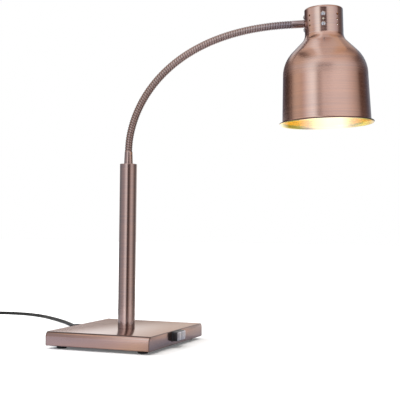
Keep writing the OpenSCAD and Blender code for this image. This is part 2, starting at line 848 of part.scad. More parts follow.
module screw_nuts() {
    color(steel) at_shade() {
        for (z = [-arm_screw_off, arm_screw_off])
            translate([-plate_seat(nut_af / cos(30)), 0, z]) rotate([0, 90, 0])
                hex_nut(nut_af, screw_d / 2, nut_h);
        for (a = bracket_sides, z = [-vent_gap, vent_gap])
            rotate([0, 0, a]) translate([tab_out - bracket_t, 0, z]) rotate([0, -90, 0])
                hex_nut(nut_af, screw_d / 2, nut_h);
    }
}

module holder_bracket() {
    tab_h = web_z + vent_gap + 6;
    color(steel) at_shade() difference() {
        union() {
            translate([-bracket_w / 2, -tab_out, web_z - bracket_t])
                cube([bracket_w, 2 * tab_out, bracket_t]);
            for (s = [0, 1]) mirror([0, s, 0])
                translate([-bracket_w / 2, tab_out - bracket_t, web_z - tab_h])
                    cube([bracket_w, bracket_t, tab_h]);
        }
        for (a = bracket_sides, z = vent_rows) cap_hole(a, z, screw_d + 2 * fit);
        for (y = holder_screw_ys) translate([0, y, web_z - 5]) cylinder(d = screw_d + 2 * fit, h = 10);
    }
}

holder_top = web_z - bracket_t;
holder_bottom = holder_top - holder_h;
holder_screw_ys = [-12, 12];
holder_well_r = bulb_cap_d / 2 + 0.8;
holder_well_h = 35;
shell_l = 24;
bulb_top = holder_bottom + holder_well_h - 4;

module holder_screws() {
    color(steel) at_shade() for (y = holder_screw_ys)
        translate([0, y, web_z]) rotate([180, 0, 0]) dome_screw(screw_l);
}

module lampholder() {
    color([0.93, 0.92, 0.88]) at_shade() difference() {
        union() {
            translate([0, 0, holder_bottom]) cylinder(d = holder_d, h = holder_h * 0.62);
            translate([0, 0, holder_bottom]) cylinder(d = holder_d - 4, h = holder_h);
        }
        translate([0, 0, holder_bottom - 1]) cylinder(r = holder_well_r, h = holder_well_h + 1);
        for (y = holder_screw_ys) translate([0, y, holder_top - screw_l + bracket_t - 0.5])
            cylinder(d = screw_d + fit, h = screw_l);
        for (y = head_lead_ys) translate([-holder_d, y, head_lead_z]) rotate([0, 90, 0])
            cylinder(r = lead_r + fit, h = holder_d - 12, $fn = 24);
    }
}

module holder_shell() {
    color(brass) at_shade() translate([0, 0, holder_bottom + holder_well_h - shell_l - 2])
        ring(holder_well_r, bulb_cap_d / 2 + fit, shell_l);
}

module holder_contact() {
    color(brass) at_shade() translate([0, 0, holder_bottom + holder_well_h]) {
        translate([-5, -2.5, -0.6]) cube([10, 5, 0.6]);
        translate([0, 0, -4 + fit]) cylinder(r = 2.2, h = 4 - fit);
    }
}

head_lead_ys = [-1.4, 1.4];
head_lead_z = 13;

module head_leads() {
    x0 = -cap_r - fit + up_stub_l - lead_short;
    x1 = -holder_d / 2 - 2.2;
    color([0.85, 0.84, 0.80]) at_shade() for (y = head_lead_ys)
        lead([[x0, y, 0], [x1, y, 0], [x1, y, head_lead_z], [-holder_d / 2 + 5, y, head_lead_z]],
            [0, 1, 0]);
}

// Bulb: measured down from its contact
bulb_neck_z = 26;
bulb_neck_end = 32;
bulb_neck_r = bulb_cap_d / 2 - 0.4;
bulb_bowl_z = 38;                  // where the reflector's parabola starts
bulb_bowl_r = 17;
bulb_rim_l = 12;
bulb_dome = 3.5;                   // rise of the lens over its edge
bulb_r = bulb_d / 2;
bulb_lens_z = bulb_l - bulb_dome - glass_t;
bulb_seal_z = bulb_lens_z - bulb_rim_l;
bulb_closed_z = 5.5;               // inside of the cap's closed end

module at_bulb() {
    at_shade() translate([0, 0, bulb_top]) rotate([180, 0, 0]) children();
}

module bulb_cap() {
    contact_r = 5;
    thread_r = 1.2;
    color(steel) at_bulb() difference() {
        union() {
            cylinder(r = contact_r, h = 3);
            translate([0, 0, 2]) cylinder(r1 = contact_r + 2, r2 = bulb_neck_r, h = 3);
            translate([0, 0, 5 - eps]) cylinder(r = bulb_neck_r, h = bulb_neck_z - 5);
            // Rolled thread, drawn as rounds
            for (i = [0 : 4]) translate([0, 0, 7.5 + i * 3.6]) rotate_extrude()
                translate([bulb_cap_d / 2 - thread_r, 0]) circle(r = thread_r, $fn = 24);
        }
        translate([0, 0, bulb_closed_z]) cylinder(r = bulb_neck_r - 0.8, h = bulb_neck_z);
    }
}

// The glass wall's line from the cap to the lens, moved inwards by d
function bulb_line(d) = concat(
    [[bulb_neck_r - d, bulb_neck_z], [bulb_neck_r - d, bulb_neck_end]],
    [for (i = [0 : 10]) let (u = i / 10)
        [bulb_bowl_r - d + (bulb_r - bulb_bowl_r) * sqrt(u), bulb_bowl_z + (bulb_seal_z - bulb_bowl_z) * u]],
    [[bulb_r - d, bulb_lens_z]]);

module bulb_reflector() {
    outer = bulb_line(0);
    inner = bulb_line(glass_t);
    n = len(inner);
    color([0.75, 0.76, 0.78]) at_bulb()
        rotate_extrude($fn = 96) polygon(concat(outer, [for (i = [0 : n - 1]) inner[n - 1 - i]]));
}

module bulb_lens() {
    face_r = (bulb_r * bulb_r + bulb_dome * bulb_dome) / (2 * bulb_dome);
    color([1, 0.9, 0.7, 0.8]) at_bulb() difference() {
        intersection() {
            translate([0, 0, bulb_l - face_r]) sphere(r = face_r, $fn = 96);
            translate([0, 0, bulb_lens_z]) cylinder(r = bulb_r, h = bulb_l, $fn = 96);
        }
        intersection() {
            translate([0, 0, bulb_l - glass_t - face_r]) sphere(r = face_r, $fn = 96);
            cylinder(r = bulb_r - glass_t, h = bulb_l + 1, $fn = 96);
        }
    }
}

module bulb_filament() {
    stem_top = bulb_bowl_z - 6;
    coil_z = bulb_bowl_z + 22;
    half = 8;
    color([0.9, 0.6, 0.2]) at_bulb() {
        // The glass stem that carries the supports, seated on the cap's closed end
        translate([0, 0, bulb_closed_z]) cylinder(r = 6.5, h = stem_top - bulb_closed_z);
        for (s = [0, 1]) mirror([s, 0, 0]) translate([4, 0, stem_top - 1])
            rotate([0, atan((half - 4) / (coil_z - stem_top + 1)), 0])
                cylinder(r = 0.6, h = coil_z - stem_top + 1, $fn = 24);
        translate([-half - 1, 0, coil_z]) rotate([0, 90, 0])
            cylinder(r = 1.2, h = 2 * half + 2, $fn = 24);
    }
}

// Cord: it leaves the relief along -X, comes down to the floor and runs left and back to a
// coil. All points are in the part's frame.
cord_lift = 1;                       // the coil's height above the floor, for its tie
coil_pitch = 7.5;                    // from one turn to the next, sideways and upwards
coil_centre = [-660, 267];
coil_r_out = 50;
coil_start = 110;                    // angle of the coil's first point
coil_turns_in = 2.5;
coil_turns_out = 2.25;
coil_steps = 24;                     // rings to a turn
cord_r = cord_d / 2;

run_points = [
    [-296, 88, 14.5], [-312, 97, 12], [-321, 111, 8.5], [-328, 127, 5.5],
    [-334, 144, 4], [-343, 159, 3.5], [-353, 174, 3.5], [-364, 187, 3.5], [-376, 200, 3.5],
    [-388, 213, 3.5], [-400, 225, 3.5], [-413, 237, 3.5], [-426, 249, 3.5], [-440, 261, 3.5],
    [-453, 272, 3.5], [-467, 283, 3.5], [-481, 294, 3.5], [-495, 304, 3.5], [-510, 313, 3.5],
    [-526, 321, 3.5], [-542, 328, 3.5], [-559, 333, 3.5], [-576, 336, 3.5], [-594, 336, 3.5],
    [-611, 335, 3.5], [-629, 331, 3.5], [-645, 326, 3.9], [-662, 320, 4.3]
];
tail_points = [[-700, 235, 12.5], [-696, 221, 14], [-693, 206, 16]];
plug_at = [-692, 190, 18.5];

// Radius and height of the coil's line after t turns. It spirals in and out again, and climbs
// to the second layer in the half turn round the reversal.
coil_reversal = coil_turns_in + 0.25;
function coil_r(t) = coil_r_out - coil_pitch * (coil_reversal - abs(t - coil_reversal));
function coil_z(t) = cord_r + cord_lift + coil_pitch
    * min(1, max(0, (t - coil_turns_in) * 2));
function coil_point(t) = let (a = coil_start + 360 * t)
    [coil_centre[0] + coil_r(t) * cos(a), coil_centre[1] + coil_r(t) * sin(a), coil_z(t)];
coil_turns = coil_turns_in + 0.5 + coil_turns_out;
coil_line = [for (i = [0 : coil_turns * coil_steps]) coil_point(i / coil_steps)];
run_line = concat(
    [[base_x0 - relief_l, cord_exit_y, cord_exit_z], [base_x0 - relief_l - cord_d, cord_exit_y, cord_exit_z]],
    run_points, [coil_line[0]]);
tail_line = concat([coil_line[len(coil_line) - 1]], tail_points, [plug_at]);

coil_in_dir = [-sin(coil_start), cos(coil_start), 0];
coil_end = coil_start + 360 * coil_turns;
coil_out_dir = [-sin(coil_end), cos(coil_end), 0];

module cord_run() {
    color(dark) tube(run_line, cord_r, 8, [-1, 0, 0], coil_in_dir);
}

module cord_coil() {
    color(dark) tube(coil_line, cord_r, 6, coil_in_dir, coil_out_dir);
}

module cord_tail() {
    color(dark) tube(tail_line, cord_r, 8, coil_out_dir, [0, -1, 0]);
}

// The coil's least gap to itself, from points more than half a turn apart
function least(v) = min([for (x = v) x]);
coil_gap = least([for (i = [0 : len(coil_line) - 1])
    for (j = [i + coil_steps / 2 : 1 : len(coil_line) - 1]) norm(coil_line[i] - coil_line[j])]) - cord_d;
echo(coil_gap = coil_gap);

tie_angle = 20;
tie_w = 8;
tie_t = 0.7;
tie_play = 0.5;

module cord_tie() {
    in0 = coil_r(coil_reversal) - cord_r - tie_play;
    in1 = coil_r(0.75) + cord_r + tie_play;
    z1 = cord_lift + cord_d + coil_pitch + clear;
    color([0.2, 0.2, 0.2]) translate([coil_centre[0], coil_centre[1], 0]) rotate([0, 0, tie_angle])
        translate([0, tie_w / 2, 0]) rotate([90, 0, 0]) linear_extrude(tie_w) difference() {
            translate([in0 - tie_t, 0]) square([in1 - in0 + 2 * tie_t, z1 + tie_t]);
            translate([in0, tie_t]) square([in1 - in0, z1 - tie_t]);
        }
}

// Plug, with its pins pointing along -Y
plug_r = 18.5;
plug_tail_l = 28;
plug_body_l = 34;
pin_r = 2.4;
pin_l = 19;
pin_gap = 19;
pin_root_r = 1.8;          // of the pin's end inside the body
pin_root_l = 12;
pin_tip_l = 1.4;

module at_plug() {
    translate(plug_at) rotate([90, 0, 0]) children();
}

module plug_body() {
    color(dark) at_plug() difference() {
        union() {
            cylinder(r1 = cord_r + 0.8, r2 = cord_r + 3, h = plug_tail_l);
            translate([0, 0, plug_tail_l - eps]) cylinder(r1 = cord_r + 6, r2 = plug_r, h = 10);
            translate([0, 0, plug_tail_l + 10 - 2 * eps]) cylinder(r = plug_r, h = plug_body_l - 10);
        }
        for (x = [-1, 1]) translate([x * pin_gap / 2, 0, plug_tail_l + plug_body_l - pin_root_l])
            cylinder(r = pin_root_r, h = pin_root_l + 1);
        // Side notches with the earth springs' room
        for (y = [-1, 1]) translate([-4, y * plug_r - 2, plug_tail_l + plug_body_l - 16])
            cube([8, 4, 20]);
    }
}

module plug_pins() {
    color(steel) at_plug() for (x = [-1, 1])
        translate([x * pin_gap / 2, 0, plug_tail_l + plug_body_l]) {
            translate([0, 0, -pin_root_l]) cylinder(r = pin_root_r, h = pin_root_l + eps);
            cylinder(r = pin_r, h = pin_l - pin_tip_l);
            translate([0, 0, pin_l - pin_tip_l - eps]) cylinder(r1 = pin_r, r2 = pin_r / 2, h = pin_tip_l);
        }
}

base_cover();
left_end_plate();
right_end_plate();
bottom_plate();
ballast_slab();
rubber_feet();
foot_screws();
foot_posts();
strain_relief();
cord_inner();
cord_clamp();
terminal_block();
earth_stud();
base_leads();
switch_frame();
switch_body();
switch_rocker();
switch_tabs();
switch_boot();
column_tube();
foot_plug();
foot_pipe();
foot_washer();
foot_nut();
column_lead();
column_cap();
lower_ferrule();
gooseneck_1();
gooseneck_2();
gooseneck_3();
gooseneck_4();
gooseneck_5();
gooseneck_6();
gooseneck_7();
gooseneck_8();
gooseneck_9();
gooseneck_10();
upper_ferrule();
arm_nut();
arm_plate();
shade();
shade_screws();
screw_nuts();
holder_bracket();
holder_screws();
lampholder();
holder_shell();
holder_contact();
head_leads();
bulb_cap();
bulb_reflector();
bulb_lens();
bulb_filament();
cord_run();
cord_coil();
cord_tail();
cord_tie();
plug_body();
plug_pins();
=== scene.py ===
"""The looks of the food heat lamp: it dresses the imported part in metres, in the part's own frame."""

import bmesh
import bpy
import numpy as np
from mathutils import Matrix


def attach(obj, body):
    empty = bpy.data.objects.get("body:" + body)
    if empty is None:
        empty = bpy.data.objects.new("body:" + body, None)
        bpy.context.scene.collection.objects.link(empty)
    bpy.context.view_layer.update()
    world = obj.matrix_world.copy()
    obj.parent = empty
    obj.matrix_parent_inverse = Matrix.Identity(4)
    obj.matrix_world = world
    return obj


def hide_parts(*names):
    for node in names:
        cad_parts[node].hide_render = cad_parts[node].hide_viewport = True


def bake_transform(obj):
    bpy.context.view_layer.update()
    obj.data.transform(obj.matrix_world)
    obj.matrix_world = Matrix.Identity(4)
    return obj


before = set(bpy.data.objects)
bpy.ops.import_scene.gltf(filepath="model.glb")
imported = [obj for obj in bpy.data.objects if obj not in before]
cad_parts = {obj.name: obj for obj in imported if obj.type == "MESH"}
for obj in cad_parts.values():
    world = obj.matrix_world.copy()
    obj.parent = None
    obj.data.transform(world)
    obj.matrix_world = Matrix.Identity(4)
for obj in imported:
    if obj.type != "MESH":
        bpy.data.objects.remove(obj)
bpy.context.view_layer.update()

# Camera: it stands at counter height, in front of the lamp and a little to its right, and looks
# slightly up, so that the mouth of the shade shows from below.
eye = np.array([0.52293, -1.42324, 0.2062])
yaw, pitch, roll = np.radians([-20.66, 1.75, 0.6])
ahead = np.array([np.sin(yaw) * np.cos(pitch), np.cos(yaw) * np.cos(pitch), np.sin(pitch)])
level = np.array([np.cos(yaw), -np.sin(yaw), 0])
side = np.cos(roll) * level + np.sin(roll) * np.cross(level, ahead)
upward = np.cross(side, ahead)
camera = bpy.data.objects.new("camera", bpy.data.cameras.new("camera"))
camera.data.lens = 79.55
camera.data.sensor_width = 36
camera.data.clip_end = 60
camera.matrix_world = Matrix(np.vstack([np.column_stack([side, upward, -ahead, eye]), [0, 0, 0, 1]]).tolist())
bpy.context.scene.collection.objects.link(camera)
bpy.context.scene.camera = camera
bpy.context.scene.view_settings.view_transform = "Standard"


# Studio floor: a white table that runs out of view. It keeps the lamp's shadow. In the metal it
# shows a little cooler to the left and warmer to the right, as the room's light does.
def node(tree, kind, inputs=None, **settings):
    """Adds a shader node. An input given as a node's socket is linked, and any other is typed in."""
    made = tree.nodes.new("ShaderNode" + kind)
    for name, value in settings.items():
        setattr(made, name, value)
    for name, value in (inputs or {}).items():
        if isinstance(value, bpy.types.NodeSocket):
            tree.links.new(value, made.inputs[name])
        else:
            made.inputs[name].default_value = value
    return made


def finish(name, colour, **values):
    """Starts a material: its colour and its other even values are set on the shader's own sockets."""
    material = bpy.data.materials.new(name)
    material.use_nodes = True
    shader = material.node_tree.nodes["Principled BSDF"]
    shader.inputs["Base Color"].default_value = (*colour, 1)
    for socket, value in values.items():
        shader.inputs[socket.replace("_", " ")].default_value = value
    return material, material.node_tree, shader


def mixed(amount, a, b, blend="MIX"):
    """Colour socket that goes from a to b with an amount from 0 to 1. One of them is a socket."""
    tree = next(value.id_data for value in (amount, a, b) if isinstance(value, bpy.types.NodeSocket))
    return node(tree, "Mix", {0: amount, 6: a, 7: b}, data_type="RGBA", blend_type=blend).outputs[2]


def spread(value, low, high, to_low=0.0, to_high=1.0, kind="SMOOTHSTEP"):
    """Number socket that goes from to_low to to_high as a value goes from low to high."""
    return node(value.id_data, "MapRange", {
        "Value": value, "From Min": low, "From Max": high, "To Min": to_low, "To Max": to_high},
        interpolation_type=kind).outputs[0]


def feed(shader, socket, value):
    """Links a value into one of a shader's sockets."""
    shader.id_data.links.new(value, shader.inputs[socket])


def worked(operation, *values):
    """Number socket of a sum worked out from one to three values, the first of them a socket."""
    return node(values[0].id_data, "Math", dict(enumerate(values)), operation=operation).outputs[0]


def on_piece(tree):
    """Place on the piece, in metres, so that a pattern stays where it is on it."""
    return node(tree, "TexCoord").outputs["Object"]


def distance(a, b):
    """Number socket of how far two places are apart."""
    return node(a.id_data, "VectorMath", {0: a, 1: b}, operation="DISTANCE").outputs["Value"]


def seen_straight(tree):
    """Number socket: 1 where the eye looks at a thing itself or through clear rubber, else 0."""
    rays = node(tree, "LightPath").outputs
    return worked("MAXIMUM", rays["Is Camera Ray"], rays["Is Transmission Ray"])


def skin(name, points, row_closes=True, rows_close=False):
    """Mesh over a grid of points, rows by columns by 3, in millimetres. Neighbours in both directions
    are joined by four-sided faces, and a direction may close on itself."""
    n, m = points.shape[:2]
    i = np.arange(n if rows_close else n - 1)[:, None]
    j = np.arange(m if row_closes else m - 1)[None, :]

    def at(a, b):
        return (a % n) * m + b % m

    faces = np.stack([at(i, j), at(i, j + 1), at(i + 1, j + 1), at(i + 1, j)], -1).reshape(-1, 4)
    mesh = bpy.data.meshes.new(name)
    mesh.from_pydata((points.reshape(-1, 3) * 0.001).tolist(), [], faces.tolist())
    return mesh


floor_half = 9000
spot = np.linspace(-floor_half, floor_half, 3)
floor = bpy.data.objects.new("floor", skin("floor", np.stack(
    np.broadcast_arrays(spot[:, None] * 0 + spot[None, :], spot[:, None], 0.0), -1), row_closes=False))
white, tree, shader = finish("table_white", (0.9, 0.9, 0.9), Roughness=0.9, Specular_IOR_Level=0.2,
                             Emission_Color=(1, 1, 1, 1))
# Near the lamp the eye sees the lit table and its shadows, and farther off plain white
off = distance(on_piece(tree), (-0.14, 0.0, 0.0))
plain = worked("MULTIPLY", spread(off, 0.3, 0.75, 0.12, 1.0), seen_straight(tree))
feed(shader, "Emission Strength", plain)
floor.data.materials.append(white)
bpy.context.scene.collection.objects.link(floor)


# Studio light: a large soft box from the left and one overhead. The metal doesn't show them, but
# the room: its bands of light and dark stand upright and differ with height.
def soft_box(name, place, aim, size, power):
    """Area light at a place in metres, turned to aim, that mirrors and metal don't show."""
    lamp = bpy.data.lights.new(name, "AREA")
    lamp.shape, lamp.size, lamp.energy = "SQUARE", size, power
    made = bpy.data.objects.new(name, lamp)
    away = np.array(place, float) - aim
    away /= np.linalg.norm(away)
    flat = np.cross([0.05, 1, 0.02], away)
    flat /= np.linalg.norm(flat)
    made.matrix_world = Matrix(np.vstack([np.column_stack([flat, np.cross(away, flat), away, place]),
                                          [0, 0, 0, 1]]).tolist())
    made.visible_glossy = False
    bpy.context.scene.collection.objects.link(made)


soft_box("soft_box_left", (-1.9, -0.9, 1.5), (-0.05, 0, 0.2), 1.4, 34)
soft_box("soft_box_top", (0.0, 0.1, 2.3), (0, 0, 0), 2.2, 36)


def bands(value, low, high, stops):
    """Colour socket of a strip of colours along a value. Its stops are (place, red, green, blue), with
    the colours in hundredths, and over a hundred where the light is brighter than white."""
    strip = node(value.id_data, "ValToRGB", {0: spread(value, low, high, kind="LINEAR")})
    for k in range(len(stops)):
        stop = strip.color_ramp.elements[k] if k < 2 else strip.color_ramp.elements.new(1)
        stop.position = 1 if k == 1 else 0
    for stop, (at, *colour) in zip(strip.color_ramp.elements, stops):
        stop.position = (at - low) / (high - low)
        stop.color = (*(part / 100 for part in colour), 1)
    return strip.outputs[0]


def xyz(place):
    """The three parts of a place, as number sockets."""
    return node(place.id_data, "SeparateXYZ", {0: place}).outputs[:]


# Where the column and the shade stand over the table, in metres
column_at, shade_at = (-0.14, -0.022), (0.191, 0.042)


def turn_round(place, at):
    """Angle round an upright axis: 0 in front, and growing to the right as the camera sees it."""
    from_axis = node(place.id_data, "VectorMath", {0: place, 1: (*at, 0.0)}, operation="SUBTRACT").outputs[0]
    x, y = xyz(from_axis)[:2]
    return worked("DEGREES", worked("ARCTAN2", x, worked("MULTIPLY", y, -1.0)))


def low_room(place):
    """Room that the column, the base and the switch show, round the column's axis."""
    return bands(turn_round(place, column_at), -180, 180, [
        (-180, 100, 100, 100), (-126, 90, 90, 90), (-112, 20, 24, 28), (-92, 30, 36, 42),
        (-54, 48, 50, 57), (-36, 54, 54, 60), (-22, 72, 72, 80), (-10, 102, 110, 120),
        (3, 125, 135, 145), (12, 90, 92, 100), (21, 14, 12, 12), (40, 13, 10, 10), (52, 50, 44, 44),
        (66, 86, 85, 88), (82, 82, 82, 85), (98, 52, 50, 52), (114, 26, 24, 24), (134, 18, 18, 19),
        (152, 40, 46, 50), (180, 100, 100, 100)])


# What the metal sees round it: a drum of cloth round the lamp, that only mirrors show, with upright
# bands of light and dark. The bands follow the column low down, the bell at middle height and the
# shade's cap above that. Behind the lamp it is dark near the table and white higher up.
def bare_tree(owner):
    """Node tree of a new material or world, with nothing in it yet."""
    owner.use_nodes = True
    owner.node_tree.nodes.clear()
    return owner.node_tree


drum_x, drum_y, drum_r, drum_low, drum_high, drum_sides = 20, 10, 720, -5.0, 1300.0, 96
spin = np.radians(np.arange(drum_sides) * 360 / drum_sides)
drum_wall = np.stack([np.column_stack([drum_x + drum_r * np.cos(spin), drum_y + drum_r * np.sin(spin),
                                       np.full(drum_sides, h)]) for h in (drum_low, drum_high)])
drum = bpy.data.objects.new("studio_drum", skin("studio_drum", drum_wall))
cloth = bpy.data.materials.new("drum_cloth")
tree = bare_tree(cloth)
place = on_piece(tree)
x, y, height = xyz(place)
round_shade = turn_round(place, shade_at)
low_bands = low_room(place)
mid_bands = bands(round_shade, -180, 180, [
    (-180, 40, 45, 50), (-152, 26, 28, 34), (-134, 14, 14, 18), (-112, 7, 5, 5), (-98, 13, 9, 8),
    (-86, 40, 34, 30), (-74, 80, 73, 65), (-62, 87, 78, 69), (-52, 77, 66, 58), (-44, 86, 80, 82),
    (-36, 112, 122, 132), (-22, 142, 172, 192), (-14, 128, 148, 162), (-7, 66, 66, 68),
    (-2, 64, 60, 62), (6, 106, 108, 114), (30, 116, 121, 130), (62, 108, 112, 118), (80, 88, 84, 84),
    (98, 54, 48, 45), (108, 14, 8, 6), (124, 14, 10, 9), (142, 12, 13, 18), (160, 30, 36, 44),
    (180, 40, 45, 50)])
high_bands = bands(round_shade, -180, 180, [
    (-180, 40, 50, 60), (-134, 10, 8, 9), (-112, 12, 9, 10), (-98, 42, 40, 42), (-82, 92, 94, 100),
    (-62, 86, 89, 96), (-48, 92, 102, 114), (-32, 130, 162, 184), (-17, 136, 174, 196),
    (-10, 90, 105, 115), (-4, 24, 22, 25), (18, 8, 5, 6), (26, 16, 14, 16), (33, 90, 100, 112),
    (46, 110, 128, 140), (66, 100, 114, 126), (82, 82, 88, 102), (96, 66, 67, 74), (108, 22, 18, 18),
    (134, 16, 17, 20), (158, 30, 40, 50), (180, 40, 50, 60)])
# Heights in metres between which one set of bands gives way to the next. For bell and cap they are
# heights less the rise of a reflection on its way from the shade, so that the two stay apart.
rise, cap_from, cap_to, low_to, behind_to = 0.234, (0.49, 0.515), (0.6, 0.63), (0.465, 0.485), (0.42, 0.34)
far = distance(node(tree, "CombineXYZ", {0: x, 1: y}).outputs[0], (*shade_at, 0.0))
came_from = worked("MULTIPLY_ADD", far, -rise, height)
in_metal = mixed(spread(came_from, *cap_from), mid_bands, high_bands)
in_metal = mixed(spread(came_from, *cap_to), in_metal, mid_bands)
in_metal = mixed(spread(height, *low_to), low_bands, in_metal)
behind = bands(height, 0, 0.4, [
    (0, 34, 26, 22), (0.06, 42, 34, 30), (0.10, 80, 77, 75), (0.14, 112, 116, 117),
    (0.4, 112, 116, 117)])
round_column = turn_round(place, column_at)
behind = mixed(1.0, behind, bands(round_column, -180, -120, [
    (-180, 72, 64, 58), (-166, 76, 68, 62), (-154, 98, 97, 96), (-142, 116, 116, 120),
    (-120, 116, 116, 120)]), "MULTIPLY")
left_behind = worked("MULTIPLY", spread(round_column, -122, -130), spread(height, *behind_to))
in_metal = mixed(left_behind, in_metal, behind)
# High up behind the lamp, where the bell's shoulder looks, it is pale on the left
shoulder_bands = bands(round_shade, -180, 180, [
    (-180, 50, 46, 44), (-165, 50, 50, 52), (-150, 70, 78, 86), (-128, 80, 86, 92), (-112, 76, 70, 66),
    (-60, 85, 76, 67), (-36, 112, 122, 132), (-14, 128, 148, 162), (6, 100, 100, 104), (80, 88, 80, 76),
    (110, 60, 50, 42), (140, 30, 25, 25), (180, 80, 72, 66)])
in_metal = mixed(spread(height, 0.82, 0.94), in_metal, shoulder_bands)
glow = node(tree, "Emission", {0: in_metal, 1: 1.0})
node(tree, "OutputMaterial", {0: glow.outputs[0]})
drum.data.materials.append(cloth)
for way in ("camera", "diffuse", "transmission", "volume_scatter", "shadow"):
    setattr(drum, "visible_" + way, False)
bpy.context.scene.collection.objects.link(drum)


def in_mirror(tree):
    """Number socket: 1 for what metal and gloss show, and 0 for the rest."""
    return node(tree, "LightPath").outputs["Is Glossy Ray"]


# The table in the metal: near the base plain, cooler to the left and warmer to the right, and
# farther out it goes on with the drum's bands
tree = white.node_tree
shader = tree.nodes["Principled BSDF"]
place = on_piece(tree)
x, y = xyz(place)[:2]
near = bands(x, -0.5, 0.2, [
    (-0.4, 49, 55, 69), (-0.28, 51, 56, 70), (-0.16, 56, 56, 64), (-0.09, 70, 66, 60),
    (-0.06, 60, 56, 52), (-0.045, 30, 34, 41), (0.0, 36, 38, 44), (0.04, 56, 54, 56), (0.2, 56, 54, 56)])
beside = bands(y, 0.0, 0.26, [
    (0.0, 72, 84, 98), (0.05, 72, 82, 98), (0.12, 98, 98, 102), (0.18, 132, 126, 113),
    (0.26, 140, 130, 115)])
near = mixed(spread(x, -0.045, -0.02), near, mixed(1.0, near, beside, "MULTIPLY"))
off = distance(place, (*column_at, 0.0))
table = mixed(spread(off, 0.33, 0.42), near, low_room(place))
feed(shader, "Base Color", mixed(in_mirror(tree), (0.9, 0.9, 0.9, 1), table))

room = bpy.data.worlds.new("room")
tree = bare_tree(room)
bpy.context.scene.world = room
toward = node(tree, "TexCoord").outputs["Generated"]
# Overhead the bands run away from the camera, so they go by the sideways part of the direction
sideways = node(tree, "VectorMath", {0: toward, 1: (0.975, 0.222, 0)},
                operation="DOT_PRODUCT").outputs["Value"]
top_bands = bands(sideways, -1, 1, [
    (-1, 16, 14, 15), (-0.6, 20, 16, 15), (-0.5, 78, 70, 64), (-0.38, 84, 74, 68),
    (-0.3, 120, 132, 142), (-0.19, 120, 132, 142), (-0.14, 80, 76, 76), (0.0, 84, 82, 84),
    (0.2, 84, 82, 82), (0.34, 86, 72, 58), (0.5, 80, 62, 46), (0.62, 22, 20, 22), (1, 16, 16, 20)])
fill = mixed(in_mirror(tree), (0.5, 0.5, 0.5, 1), top_bands)
backdrop = node(tree, "Background", {0: mixed(seen_straight(tree), fill, (1, 1, 1, 1)), 1: 1.0})
node(tree, "OutputWorld", {0: backdrop.outputs[0]})


# Mains cord: a round black rubber lead of 7 mm. It leaves the strain relief to the left, comes
# down to the table, runs back and is put away in a neat coil behind the view, ending in its plug.
def through(points, steps):
    """Smooth line through points: each stretch is a cubic whose slope at a point is half the way
    from the point before to the point after."""
    p = np.vstack([2 * points[0] - points[1], points, 2 * points[-1] - points[-2]])
    t = (np.arange(steps) / steps)[None, :, None]
    a, b, c, d = (p[k:len(p) - 3 + k, None, :] for k in range(4))
    line = b + 0.5 * t * (c - a + t * (2 * a - 5 * b + 4 * c - d + t * (3 * (b - c) + d - a)))
    return np.vstack([line.reshape(-1, 3), points[-1]])


def hose(line, radius, sides, ref=(0.0, 0.0, 1.0)):
    """Grid of points round a line: a ring square to the line at each of its points. The line never
    runs along ref. The radius is a number, or an array of rows by sides."""
    along = np.gradient(line, axis=0)
    along /= np.linalg.norm(along, axis=1)[:, None]
    out = np.cross(along, ref)
    out /= np.linalg.norm(out, axis=1)[:, None]
    over = np.cross(out, along)
    angle = np.linspace(0, 2 * np.pi, sides, endpoint=False)[None, :, None]
    ring = np.cos(angle) * out[:, None, :] + np.sin(angle) * over[:, None, :]
    return line[:, None, :] + np.broadcast_to(np.asarray(radius, float), ring.shape[:2])[..., None] * ring


def closed(points):
    """Adds a middle point to both ends of a grid of rings, so that the skin closes there."""
    ends = [np.broadcast_to(points[k].mean(axis=0), points[k].shape)[None] for k in (0, -1)]
    return np.concatenate([ends[0], points, ends[1]])


def cleaned(mesh, weld, thin=None):
    """Welds a mesh's points that meet, drops faces thinner than thin, and turns the rest outwards."""
    work = bmesh.new()
    work.from_mesh(mesh)
    bmesh.ops.remove_doubles(work, verts=work.verts, dist=weld)
    if thin:
        bmesh.ops.dissolve_degenerate(work, edges=work.edges, dist=thin)
    bmesh.ops.recalc_face_normals(work, faces=work.faces)
    work.to_mesh(mesh)
    work.free()
    return mesh


def piece(name, mesh, material, slot, body, *stands_for, sharp=32):
    """Makes a mesh a piece: points that meet are welded, faces turned outwards, edges over an angle
    kept sharp, and the piece rides on a body, or on none yet, and stands for its CAD nodes."""
    cleaned(mesh, 2e-6, 1e-7)
    mesh.shade_smooth()
    mesh.set_sharp_from_angle(angle=np.radians(sharp))
    made = bpy.data.objects.new(name, mesh)
    if material and not mesh.materials:
        mesh.materials.append(material)
    bpy.context.scene.collection.objects.link(made)
    if body:
        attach(made, body)
    if stands_for:
        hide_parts(*stands_for)
    return made


def clouds(place, scale, detail, **more):
    """Number socket of a cloudy pattern, of about scale clouds a metre."""
    return node(place.id_data, "TexNoise",
                {"Vector": place, "Scale": scale, "Detail": detail, **more}).outputs[0]


def bumped(shader, height, strength, depth):
    """Gives a shader's surface fine ups and downs, depth in metres."""
    bump = node(shader.id_data, "Bump", {"Height": height, "Strength": strength, "Distance": depth})
    feed(shader, "Normal", bump.outputs[0])


def rubber(name, colour, grain=900.0, **values):
    """Moulded rubber or soft plastic: a fine cloudy grain in its shade, gloss and surface."""
    material, tree, shader = finish(name, colour, **values)
    place = on_piece(tree)
    cloud = clouds(place, grain, 3.0)
    dust = clouds(place, 40.0, 2.0)
    light = tuple(min(1, c * 1.5 + 0.004) for c in colour) + (1,)
    feed(shader, "Base Color", mixed(spread(dust, 0.35, 0.75), (*colour, 1), light))
    rough = values.get("Roughness", 0.5)
    feed(shader, "Roughness", spread(cloud, 0.3, 0.7, rough - 0.06, rough + 0.08))
    bumped(shader, cloud, 0.25, 0.00008)
    return material


